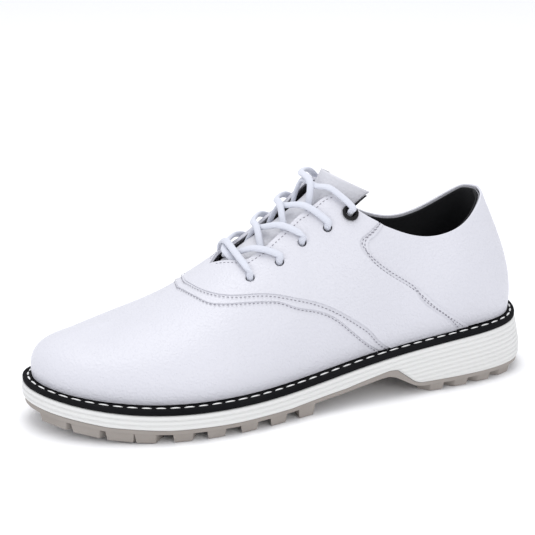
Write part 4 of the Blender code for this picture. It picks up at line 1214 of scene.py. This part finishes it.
# ======== vamp ========
# The toe piece of white full-grain leather, lasted smooth over the puff. It is cut from one
# hide, skived at its edges and sewn under the front band.
VAMP_SEAM = [
    (0, 0.355), (0.12, 0.387), (0.21, 0.417), (0.28, 0.453), (0.34, 0.497), (0.43, 0.537),
    (0.51, 0.58), (0.58, 0.617), (0.65, 0.645), (0.76, 0.666), (0.91, 0.683), (1, 0.69),
]
VAMP_LAYER = (0.0, 1.4)
LEATHER_WHITE = (0.615, 0.615, 0.66)
LEATHER_EDGE = 0.35


def leather(name, colour, roughness, grain, relief):
    """White full-grain leather: fine pebbled grain, soft broad creases and a low shine."""
    made = bpy.data.materials.new(name)
    made.use_nodes = True
    nodes, links = made.node_tree.nodes, made.node_tree.links
    shader = nodes["Principled BSDF"]
    shader.label = "Leather"
    where = nodes.new("ShaderNodeTexCoord")
    where.label = "Place on the shoe"
    where.location = (-1500, 0)
    colour_frame = nodes.new("NodeFrame")
    colour_frame.label = "Colour"
    cloud = nodes.new("ShaderNodeTexNoise")
    cloud.label = "Uneven dye"
    cloud.location = (-1200, 400)
    cloud.parent = colour_frame
    tint = nodes.new("ShaderNodeMix")
    tint.label = "Dye"
    tint.data_type = "RGBA"
    tint.location = (-700, 350)
    tint.parent = colour_frame
    grain_frame = nodes.new("NodeFrame")
    grain_frame.label = "Grain"
    warp = nodes.new("ShaderNodeTexNoise")
    warp.label = "Wandering grain"
    warp.location = (-1450, -250)
    warp.parent = grain_frame
    shift = nodes.new("ShaderNodeMix")
    shift.label = "Place moved by the wander"
    shift.data_type = "VECTOR"
    shift.location = (-1200, -150)
    shift.parent = grain_frame
    pebbles = nodes.new("ShaderNodeTexVoronoi")
    pebbles.label = "Pebbles"
    pebbles.feature = "SMOOTH_F1"
    pebbles.location = (-1000, -150)
    pebbles.parent = grain_frame
    pores = nodes.new("ShaderNodeTexNoise")
    pores.label = "Pores"
    pores.location = (-1000, -450)
    pores.parent = grain_frame
    pebble_bump = nodes.new("ShaderNodeBump")
    pebble_bump.label = "Pebble relief"
    pebble_bump.location = (-600, -150)
    pebble_bump.parent = grain_frame
    pore_bump = nodes.new("ShaderNodeBump")
    pore_bump.label = "Pore relief"
    pore_bump.location = (-400, -250)
    pore_bump.parent = grain_frame
    crease_frame = nodes.new("NodeFrame")
    crease_frame.label = "Creases"
    creases = nodes.new("ShaderNodeTexNoise")
    creases.label = "Broad creases"
    creases.location = (-1000, -750)
    creases.parent = crease_frame
    crease_bump = nodes.new("ShaderNodeBump")
    crease_bump.label = "Crease relief"
    crease_bump.location = (-200, -350)
    crease_bump.parent = crease_frame
    shine = nodes.new("ShaderNodeMapRange")
    shine.label = "Uneven shine"
    shine.location = (-500, 100)
    cloud.inputs["Scale"].default_value = 26
    cloud.inputs["Detail"].default_value = 5
    tint.inputs["A"].default_value = (*[c * 0.955 for c in colour], 1)
    tint.inputs["B"].default_value = (*colour, 1)
    warp.inputs["Scale"].default_value = 300
    shift.inputs["Factor"].default_value = 0.002
    pebbles.inputs["Scale"].default_value = grain
    pores.inputs["Scale"].default_value = grain * 3
    pores.inputs["Detail"].default_value = 3
    creases.inputs["Scale"].default_value = 55
    creases.inputs["Detail"].default_value = 4
    creases.inputs["Distortion"].default_value = 0.8
    pebble_bump.inputs["Strength"].default_value = 0.5
    pebble_bump.inputs["Distance"].default_value = relief
    pore_bump.inputs["Strength"].default_value = 0.25
    pore_bump.inputs["Distance"].default_value = relief * 0.5
    crease_bump.inputs["Strength"].default_value = 0.35
    crease_bump.inputs["Distance"].default_value = 0.0008
    shine.inputs["To Min"].default_value = roughness - 0.06
    shine.inputs["To Max"].default_value = roughness + 0.08
    shader.inputs["Specular IOR Level"].default_value = 0.4
    links.new(where.outputs["Object"], cloud.inputs["Vector"])
    links.new(where.outputs["Object"], warp.inputs["Vector"])
    links.new(where.outputs["Object"], shift.inputs[4])
    links.new(warp.outputs["Color"], shift.inputs[5])
    links.new(shift.outputs[1], pebbles.inputs["Vector"])
    links.new(where.outputs["Object"], pores.inputs["Vector"])
    links.new(where.outputs["Object"], creases.inputs["Vector"])
    links.new(cloud.outputs["Fac"], tint.inputs["Factor"])
    links.new(tint.outputs["Result"], shader.inputs["Base Color"])
    links.new(cloud.outputs["Fac"], shine.inputs["Value"])
    links.new(shine.outputs["Result"], shader.inputs["Roughness"])
    links.new(pebbles.outputs["Distance"], pebble_bump.inputs["Height"])
    links.new(pores.outputs["Fac"], pore_bump.inputs["Height"])
    links.new(creases.outputs["Fac"], crease_bump.inputs["Height"])
    links.new(pebble_bump.outputs["Normal"], pore_bump.inputs["Normal"])
    links.new(pore_bump.outputs["Normal"], crease_bump.inputs["Normal"])
    links.new(crease_bump.outputs["Normal"], shader.inputs["Normal"])
    return made


white_leather = leather("White leather", LEATHER_WHITE, 0.38, 850, 0.0006)
vamp_patches = [patch(side, *between(VAMP_SEAM, 1.0), 60, 60, crowding=1.3) for side in SIDES]
vamp = upper_piece("vamp_leather", vamp_patches, VAMP_LAYER, white_leather, LEATHER_EDGE)
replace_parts(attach(vamp, "shoe"), "vamp")

# ======== front band ========
# A strip of the same leather over the join of vamp and saddle. Its lower edge is sewn to the
# vamp with a row of short stitches sunk in the leather, their dark grey painted shade of the
# shadowed needle holes.
BAND_LAYER = (0.6, 1.6)
STITCH_SIZES = (2.3, 1.5, 0.55, 0.34)
STITCH_RISE = 0.02
BAND_STITCH_IN = 1.3
# The dark grey of all the upper's stitches is painted shade: the pale thread is darkened to stand for the
# shadowed needle holes it sinks into.
STITCH_PAINTED_SHADE_GREY = (0.22, 0.21, 0.25)
painted_shade_thread = thread_paint("Needle thread darkened as painted hole shade", STITCH_PAINTED_SHADE_GREY, 1500)


def stitch_line(side, u_of, t, height, aside):
    """A line on a layer of the upper, moved sideways over the leather by the given distance."""
    u = u_of(t) if callable(u_of) else u_of
    points = over_skin(side, u, t, height)
    normals = skin_normal(side, u, t)
    way = np.gradient(points, axis=0)
    way /= np.linalg.norm(way, axis=1)[:, None]
    return points + np.cross(normals, way) * aside * side, normals


band_patches = [patch(side, *between(SADDLE_SEAM, VAMP_SEAM), 8, 110) for side in SIDES]
band = upper_piece("front_band_leather", band_patches, BAND_LAYER, white_leather, LEATHER_EDGE)
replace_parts(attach(band, "shoe"), "front_band")
seam_t = np.linspace(0.015, 0.995, 160)
band_rows = [
    stitch_line(side, lambda t: seam(VAMP_SEAM, t), seam_t, BAND_LAYER[0] + STITCH_RISE, BAND_STITCH_IN)
    for side in SIDES
]
band_seam = stitch_rows("front_band_stitches", band_rows, STITCH_SIZES, painted_shade_thread)
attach(band_seam, "shoe")

# ======== saddle ========
# The big side piece of leather that carries the lace holes. It lies over both bands and is
# sewn to them inside its edge, and again along the opening for the tongue.
REAR_SADDLE_SEAM = [
    (0, 0.209), (0.17, 0.237), (0.40, 0.283), (0.56, 0.318), (0.635, 0.362), (0.68, 0.386),
    (0.72, 0.390), (0.83, 0.377), (1, 0.355),
]
# The edge of the lacing opening, as (u, t).
OPENING = [
    (0.0, 1.0), (0.415, 1.0), (0.43, 0.93), (0.45, 0.83), (0.467, 0.775), (0.497, 0.75),
    (0.547, 0.75), (0.575, 0.77), (0.59, 0.82), (0.605, 0.895), (0.626, 1.0), (1.0, 1.0),
]
SADDLE_LAYER = (1.2, 1.8)
# The lace holes, as (u, t), from the toe back.
EYELETS = [(0.58, 0.65), (0.527, 0.61), (0.483, 0.62), (0.44, 0.68), (0.40, 0.89)]
HOLE_RADIUS = 2.5
TOP_HOLE_RADIUS = 3.5
SADDLE_STITCH_IN = 2.0
THROAT_STITCH_IN = 0.03


def opening(u):
    """How far up the skin the saddle reaches at u."""
    return np.interp(u, *zip(*OPENING))


def skin_frame(side, u, t):
    """Centre, outward axis and two directions across it at a place on the skin."""
    centre, axis = skin(side, u, t), skin_normal(side, u, t)
    first = np.cross(axis, (0, 0, 1.0))
    first /= np.linalg.norm(first)
    return centre, axis, first, np.cross(axis, first)


def turned(name, profile, side, u, t, paint, segments=48):
    """A closed ring turned about the outward axis at (u, t): profile is (radius, height)."""
    centre, axis, first, second = skin_frame(side, u, t)
    rows = []
    for angle in np.linspace(0, 2 * np.pi, segments, endpoint=False):
        out = first * np.cos(angle) + second * np.sin(angle)
        rows.append([centre + out * radius + axis * height for radius, height in profile])
    return closed_band(name, np.array(rows), paint)


def punch_tool(side):
    """Round cutters for one side's lace holes, all in one object."""
    points, faces, segments = [], [], 32
    radii = [HOLE_RADIUS] * (len(EYELETS) - 1) + [TOP_HOLE_RADIUS]
    for (u, t), radius in zip(EYELETS, radii):
        centre, axis, first, second = skin_frame(side, u, t)
        start = len(points)
        for height in (-6.0, 6.0):
            for angle in np.linspace(0, 2 * np.pi, segments, endpoint=False):
                out = first * np.cos(angle) + second * np.sin(angle)
                points.append(centre + out * radius + axis * height)
        for i in range(segments):
            k = (i + 1) % segments
            faces.append((start + i, start + k, start + segments + k, start + segments + i))
        faces.append(tuple(start + i for i in range(segments)))
        faces.append(tuple(start + segments + i for i in reversed(range(segments))))
    return mesh_object("punch", place(points), faces, white_leather)


punches = [punch_tool(side) for side in SIDES]
saddle_patches = [
    patch(
        side, *between(REAR_SADDLE_SEAM, SADDLE_SEAM), 80, 72,
        t_to=opening, crowding=1.2, shelf=SHELF_T,
    )
    for side in SIDES
]
saddle = upper_piece(
    "saddle_leather", saddle_patches, SADDLE_LAYER, white_leather, LEATHER_EDGE, punches
)
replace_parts(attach(saddle, "shoe"), "saddle")
saddle_rows = []
throat_u = np.linspace(0.428, 0.618, 120)
rear_t = np.linspace(0.015, 0.99, 130)
for side in SIDES:
    height = SADDLE_LAYER[0] + STITCH_RISE
    front = stitch_line(side, lambda t: seam(SADDLE_SEAM, t), seam_t, height, SADDLE_STITCH_IN)
    back = stitch_line(side, lambda t: seam(REAR_SADDLE_SEAM, t), rear_t, height, -SADDLE_STITCH_IN)
    throat = stitch_line(side, throat_u, opening(throat_u) - THROAT_STITCH_IN, height, 0.0)
    saddle_rows.extend([front, back, throat])
saddle_seam = stitch_rows("saddle_stitches", saddle_rows, STITCH_SIZES, painted_shade_thread)
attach(saddle_seam, "shoe")

# ======== quarters and rear bands ========
# The heel leather of each side, closed down the middle of the back, and the narrow strip
# that covers its join with the saddle. Each strip is sewn along both edges.
QUARTER_SEAM = [
    (0, 0.184), (0.18, 0.223), (0.39, 0.263), (0.54, 0.298), (0.62, 0.335), (0.67, 0.362),
    (0.72, 0.374), (0.78, 0.374), (0.86, 0.363), (1, 0.347),
]
HEEL_SEAM_U = 0.0004
for side, word in ((LATERAL, "outer"), (MEDIAL, "inner")):
    rear_patch = patch(side, *between(QUARTER_SEAM, REAR_SADDLE_SEAM), 8, 90, shelf=SHELF_T)
    rear = upper_piece("rear_band_leather_" + word, [rear_patch], BAND_LAYER, white_leather, LEATHER_EDGE)
    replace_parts(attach(rear, "shoe"), "rear_band_" + word)
    quarter_patch = patch(side, lambda t: HEEL_SEAM_U + 0 * t, between(0.0, QUARTER_SEAM)[1], 50, 44)
    quarter = upper_piece(
        "quarter_leather_" + word, [quarter_patch], VAMP_LAYER, white_leather, LEATHER_EDGE
    )
    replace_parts(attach(quarter, "shoe"), "quarter_" + word)
rear_rows = [
    stitch_line(side, lambda t: seam(QUARTER_SEAM, t), rear_t, BAND_LAYER[0] + STITCH_RISE, BAND_STITCH_IN)
    for side in SIDES
]
rear_seam = stitch_rows("rear_band_stitches", rear_rows, STITCH_SIZES, painted_shade_thread)
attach(rear_seam, "shoe")

# ======== eyelet backings and top eyelets ========
# A black webbing strip behind each row of lace holes, and a black enamelled ring clenched
# through the top hole on each side.
BACKING_LAYER = (-1.7, 0.7)
BACKING_FROM_U, BACKING_TO_U = 0.385, 0.594
BACKING_UNDER_EDGE = 0.01
RING_BLACK = (0.01, 0.01, 0.011)
# The ring's section, as (radius, height over the skin).
RING_PROFILE = [
    (2.6, -1.2), (3.0, -1.2), (3.0, 1.6), (4.3, 1.75), (4.65, 2.0), (4.6, 2.4), (4.2, 2.8), (3.6, 2.95),
    (3.0, 2.85), (2.65, 2.5), (2.6, 2.1),
]


def backing_foot(u):
    """Lower edge of the eyelet backing: it follows the row of holes."""
    return 0.53 + 0.2 * (1 - smooth_step(u, 0.40, 0.47)) + 0.055 * smooth_step(u, 0.53, 0.57)


black_enamel = metal("Black eyelet enamel", RING_BLACK, 0.3, 0.0, 1.0)
for side, word, tool in ((LATERAL, "outer", punches[0]), (MEDIAL, "inner", punches[1])):
    backing_patch = patch(
        side, lambda t: BACKING_FROM_U + 0 * t, lambda t: BACKING_TO_U + 0 * t, 48, 18,
        t_from=backing_foot,
        t_to=lambda u: opening(u) - BACKING_UNDER_EDGE,
    )
    backing = upper_piece("eyelet_webbing_" + word, [backing_patch], BACKING_LAYER, black_knit, 0.0, [tool])
    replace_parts(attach(backing, "shoe"), "eyelet_backing_" + word)
    ring_made = turned("top_ring_" + word, RING_PROFILE, side, *EYELETS[-1], black_enamel)
    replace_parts(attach(ring_made, "shoe"), "top_eyelet_" + word)
for tool in punches:
    bpy.data.objects.remove(tool, do_unlink=True)

# ======== tongue ========
# A soft white leather tongue over a thin padded back of black knit. It is sewn to the vamp
# at its lower end, where it hinges, and fills the opening under the lace.
# Stations of the tongue: crest of its outer face (a, y, z), arch radius, and its reach
# round the arch to the outer and to the inner side.
TONGUE = [
    (190, 5, 71.0, 16, 16, 17), (176, 5.5, 80.0, 16, 18, 18), (160, 5.7, 89.5, 16, 20, 19.5),
    (146, 5.6, 98.0, 15.0, 21, 19.5), (135, 5.8, 105.8, 14.5, 22.5, 19.5),
    (127.5, 6.4, 112.4, 14.5, 26, 19), (122, 5.8, 121.5, 17, 33, 21),
]
TONGUE_LEATHER = 1.1
TONGUE_PADDING = 2.6
# The padding lies this far under the leather, goes this far round past the arch on each
# side, and stops at this share of the tongue's length.
PAD_UNDER = 0.1
PAD_PAST = 4.0
PAD_TOP = 0.965
TONGUE_WHITE = (0.615, 0.615, 0.65)
# How far the tongue's edges reach out to the outer and to the inner side, and down.
WING_OUT = 6.0
WING_IN = 0.5
WING_DOWN = 4.0


def tongue_grid(outer, trim, wings, top):
    """Rows of points over the arch, at a depth under the outer face, then out to the wings
    that lie under the edges of the opening."""
    keys = np.array(TONGUE, float)
    knots = np.linspace(0, 1, len(keys))
    at = np.linspace(0, top, 60)
    stations = spline(knots, keys, at)
    slope = np.gradient(stations[:, [0, 2]], axis=0)
    slope /= np.linalg.norm(slope, axis=1)[:, None]
    normal = np.stack([-slope[:, 1], 0 * slope[:, 0], slope[:, 0]], 1)
    normal *= np.sign(normal[:, 2:])
    angles = np.linspace(-1, 1, 41)
    across = np.array((0, 1.0, 0))
    rows = []
    for share, (a, y, z, radius, outer_reach, inner_reach), out in zip(at, stations, normal):
        arc = np.where(angles < 0, outer_reach - trim, inner_reach - trim)
        turn = angles * arc / radius
        reach = radius - outer
        centre = np.array((a, y, z)) - out * radius
        row = centre + np.outer(np.cos(turn) * reach, out) + np.outer(np.sin(turn) * reach, across)
        if wings:
            size = 1 - smooth_step(share, 0.55, 0.8)
            steps = np.array((1, 0.66, 0.33))[:, None] * size
            left = row[0] - (across * WING_OUT + out * WING_DOWN) * steps
            right = row[-1] + (across * WING_IN - out * WING_DOWN) * steps[::-1]
            row = np.vstack([left, row, right])
        rows.append(row)
    return np.array(rows)


def tongue_piece(name, outer, thickness, trim, paint, wings, top=1.0):
    """A layer of the tongue, closed round its edges."""
    layers = [tongue_grid(depth, trim, wings, top) for depth in (outer, outer + thickness)]
    rows, columns = layers[0].shape[:2]
    size = rows * columns
    faces = grid_faces(rows, columns) + grid_faces(rows, columns, size)
    for i in range(rows - 1):
        for j in (0, columns - 1):
            a = i * columns + j
            faces.append((a, a + columns, a + columns + size, a + size))
    for j in range(columns - 1):
        for i in (0, rows - 1):
            a = i * columns + j
            faces.append((a, a + 1, a + 1 + size, a + size))
    points = place(np.concatenate([layer.reshape(-1, 3) for layer in layers]))
    return mesh_object(name, points, faces, paint)


tongue_leather = leather("White tongue leather", TONGUE_WHITE, 0.42, 900, 0.0004)
tongue = tongue_piece("tongue_leather", 0.0, TONGUE_LEATHER, 0.0, tongue_leather, True)
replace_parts(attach(tongue, "tongue_flap"), "tongue")
pad_outer = TONGUE_LEATHER + PAD_UNDER
tongue_pad = tongue_piece(
    "tongue_pad", pad_outer, TONGUE_PADDING, -PAD_PAST, black_knit, False, PAD_TOP
)
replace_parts(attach(tongue_pad, "tongue_flap"), "tongue_padding")

# ======== lace and tips ========
# One oval braided cord of white polyester. It starts as a bar over the lowest holes, crosses
# up through the rest, and both ends are tucked away inside with their clear tips.
TOP_RING_RISE = 1.9
LACE_RADIUS = 1.2
LACE_WIDE = 1.95
LACE_HIGH = 1.3
LACE_SIDES = 20
PATH_STEPS = 10
# Room between the lace and the leather above, and between the lace and the webbing below.
ROOM_OVER = 0.7
ROOM_UNDER = 0.75
LACE_WHITE = (0.64, 0.66, 0.73)


def lace_point(side, u, t, height):
    """A place of the lace with the outward direction there."""
    return np.concatenate([over_skin(side, u, t, height), skin_normal(side, u, t)])


def lace_route():
    """The whole cord: from one tucked end, up through the holes, to the other tucked end."""
    over = SADDLE_LAYER[0] + ROOM_OVER + LACE_RADIUS
    under = BACKING_LAYER[0] - BACKING_LAYER[1] - ROOM_UNDER - LACE_RADIUS
    levels = len(EYELETS)

    def hole(side, i, height, toward=0.0):
        u, t = EYELETS[i]
        return lace_point(side, u, t + toward, height)

    def crossing(side, i):
        """From inside hole i on one side, over the tongue, into hole i + 1 on the other. The
        strand that starts on the outer side runs over the other one."""
        u, t = EYELETS[i]
        next_u = EYELETS[i + 1][0]
        edge_u = u + (0.022 if i else 0.005)
        ridge_u, facing_u = u + 0.018, u + (next_u - u) * 0.4
        ridge_t, facing_t = 0.93, float(opening(facing_u)) + 0.02
        tall, above = -0.5, over
        if i + 2 == levels:
            edge_u, ridge_u, ridge_t, facing_u, facing_t = 0.465, 0.452, 0.975, 0.428, 0.95
            tall, above = 3.4, over + TOP_RING_RISE
        climb = 1.4
        if side == LATERAL:
            tall += 2 * LACE_RADIUS
            climb = 0.4
        return [
            hole(side, i, under + 1.2),
            lace_point(side, u - 0.004, t + 0.05, under - 0.1),
            lace_point(side, edge_u, opening(edge_u) - 0.02, under),
            lace_point(side, ridge_u, ridge_t, tall - climb),
            lace_point(-side, ridge_u - 0.006, ridge_t, tall),
            lace_point(-side, facing_u, facing_t, above + 0.3),
            hole(-side, i + 1, above - 0.2, 0.035),
            hole(-side, i + 1, above - 2.2, 0.008),
        ]

    def strand(first_side):
        points, side = [], first_side
        for i in range(levels - 1):
            points += crossing(side, i)
            side = -side
        top_u, top_t = EYELETS[-1]
        tail = [
            hole(side, levels - 1, -1.8, -0.006),
            lace_point(side, top_u, top_t - 0.04, under - 0.2),
            lace_point(side, top_u + 0.004, top_t - 0.14, under - 1.0),
            lace_point(side, top_u + 0.025, 0.50, under - 2.8),
            lace_point(side, 0.52, 0.40, under - 2.8),
            lace_point(side, 0.60, 0.42, under - 2.8),
            lace_point(side, 0.69, 0.44, under - 3.0),
            lace_point(side, 0.715, 0.405, under - 3.2),
            lace_point(side, 0.72, 0.35, under - 3.5),
            lace_point(side, 0.69, 0.30, under - 3.8),
            lace_point(side, 0.56, 0.27, under - 3.4),
        ]
        return points + tail

    first = strand(LATERAL)
    second = strand(MEDIAL)
    bar = [
        hole(LATERAL, 0, over - 2.2, 0.008),
        hole(LATERAL, 0, over + 0.2, 0.04),
        lace_point(LATERAL, EYELETS[0][0] + 0.008, 0.86, over + 1.0),
        lace_point(MEDIAL, EYELETS[0][0] + 0.008, 0.97, over + 1.4),
        lace_point(MEDIAL, EYELETS[0][0] + 0.004, 0.80, over + 0.8),
        hole(MEDIAL, 0, over + 0.2, 0.04),
        hole(MEDIAL, 0, over - 2.2, 0.008),
    ]
    whole = first[::-1] + bar + second
    return np.array(whole)


def smooth_path(keys, per_span):
    """A rounded path through keys, closer than a straight one."""
    padded = np.vstack([2 * keys[0] - keys[1], keys, 2 * keys[-1] - keys[-2]])
    found = []
    for i in range(1, len(padded) - 2):
        before, start, end, after = padded[i - 1 : i + 3]
        for k in np.arange(per_span) / per_span:
            found.append(
                0.5 * (
                    2 * start + (end - before) * k + (2 * before - 5 * start + 4 * end - after) * k**2
                    + (3 * start - before - 3 * end + after) * k**3
                )
            )
    found.append(padded[-2])
    return np.array(found)


def lace_tube(name, path, outward, paint):
    """An oval tube along a path, its flat side kept to the outward directions."""
    way = np.gradient(path, axis=0)
    way /= np.linalg.norm(way, axis=1)[:, None]
    kept = outward[0]
    up = []
    for direction, wish in zip(way, outward):
        flat = wish - direction * (wish @ direction)
        weight = 0.35 * (flat @ flat)
        kept = kept - direction * (kept @ direction)
        kept = kept / np.linalg.norm(kept) * (1 - weight) + flat * weight
        kept = kept - direction * (kept @ direction)
        kept = kept / np.linalg.norm(kept)
        up.append(kept)
    up = np.array(up)
    across = np.cross(way, up)
    turns = np.linspace(0, 2 * np.pi, LACE_SIDES, endpoint=False)
    rows = [path + across * np.cos(turn) * LACE_WIDE + up * np.sin(turn) * LACE_HIGH for turn in turns]
    rows = np.stack(rows, 1)
    faces = []
    for i in range(len(path) - 1):
        for j in range(LACE_SIDES):
            k = (j + 1) % LACE_SIDES
            a = i * LACE_SIDES
            faces.append((a + j, a + k, a + k + LACE_SIDES, a + j + LACE_SIDES))
    faces.append(tuple(range(LACE_SIDES)))
    last = (len(path) - 1) * LACE_SIDES
    faces.append(tuple(last + j for j in reversed(range(LACE_SIDES))))
    return mesh_object(name, place(rows.reshape(-1, 3)), faces, paint)


lace_keys = smooth_path(lace_route(), PATH_STEPS)
lace_outward = lace_keys[:, 3:] / np.linalg.norm(lace_keys[:, 3:], axis=1)[:, None]
lace_braid = thread_paint("White lace braid", LACE_WHITE, 700)
lace = lace_tube("lace_cord", lace_keys[:, :3], lace_outward, lace_braid)
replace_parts(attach(lace, "shoe"), "lace")
tip_plastic = rubber("Clear white tip", (0.80, 0.81, 0.83), 0.3, 600, 0.00003, 0.05)
repaint("lace_tip_outer", tip_plastic)
repaint("lace_tip_inner", tip_plastic)
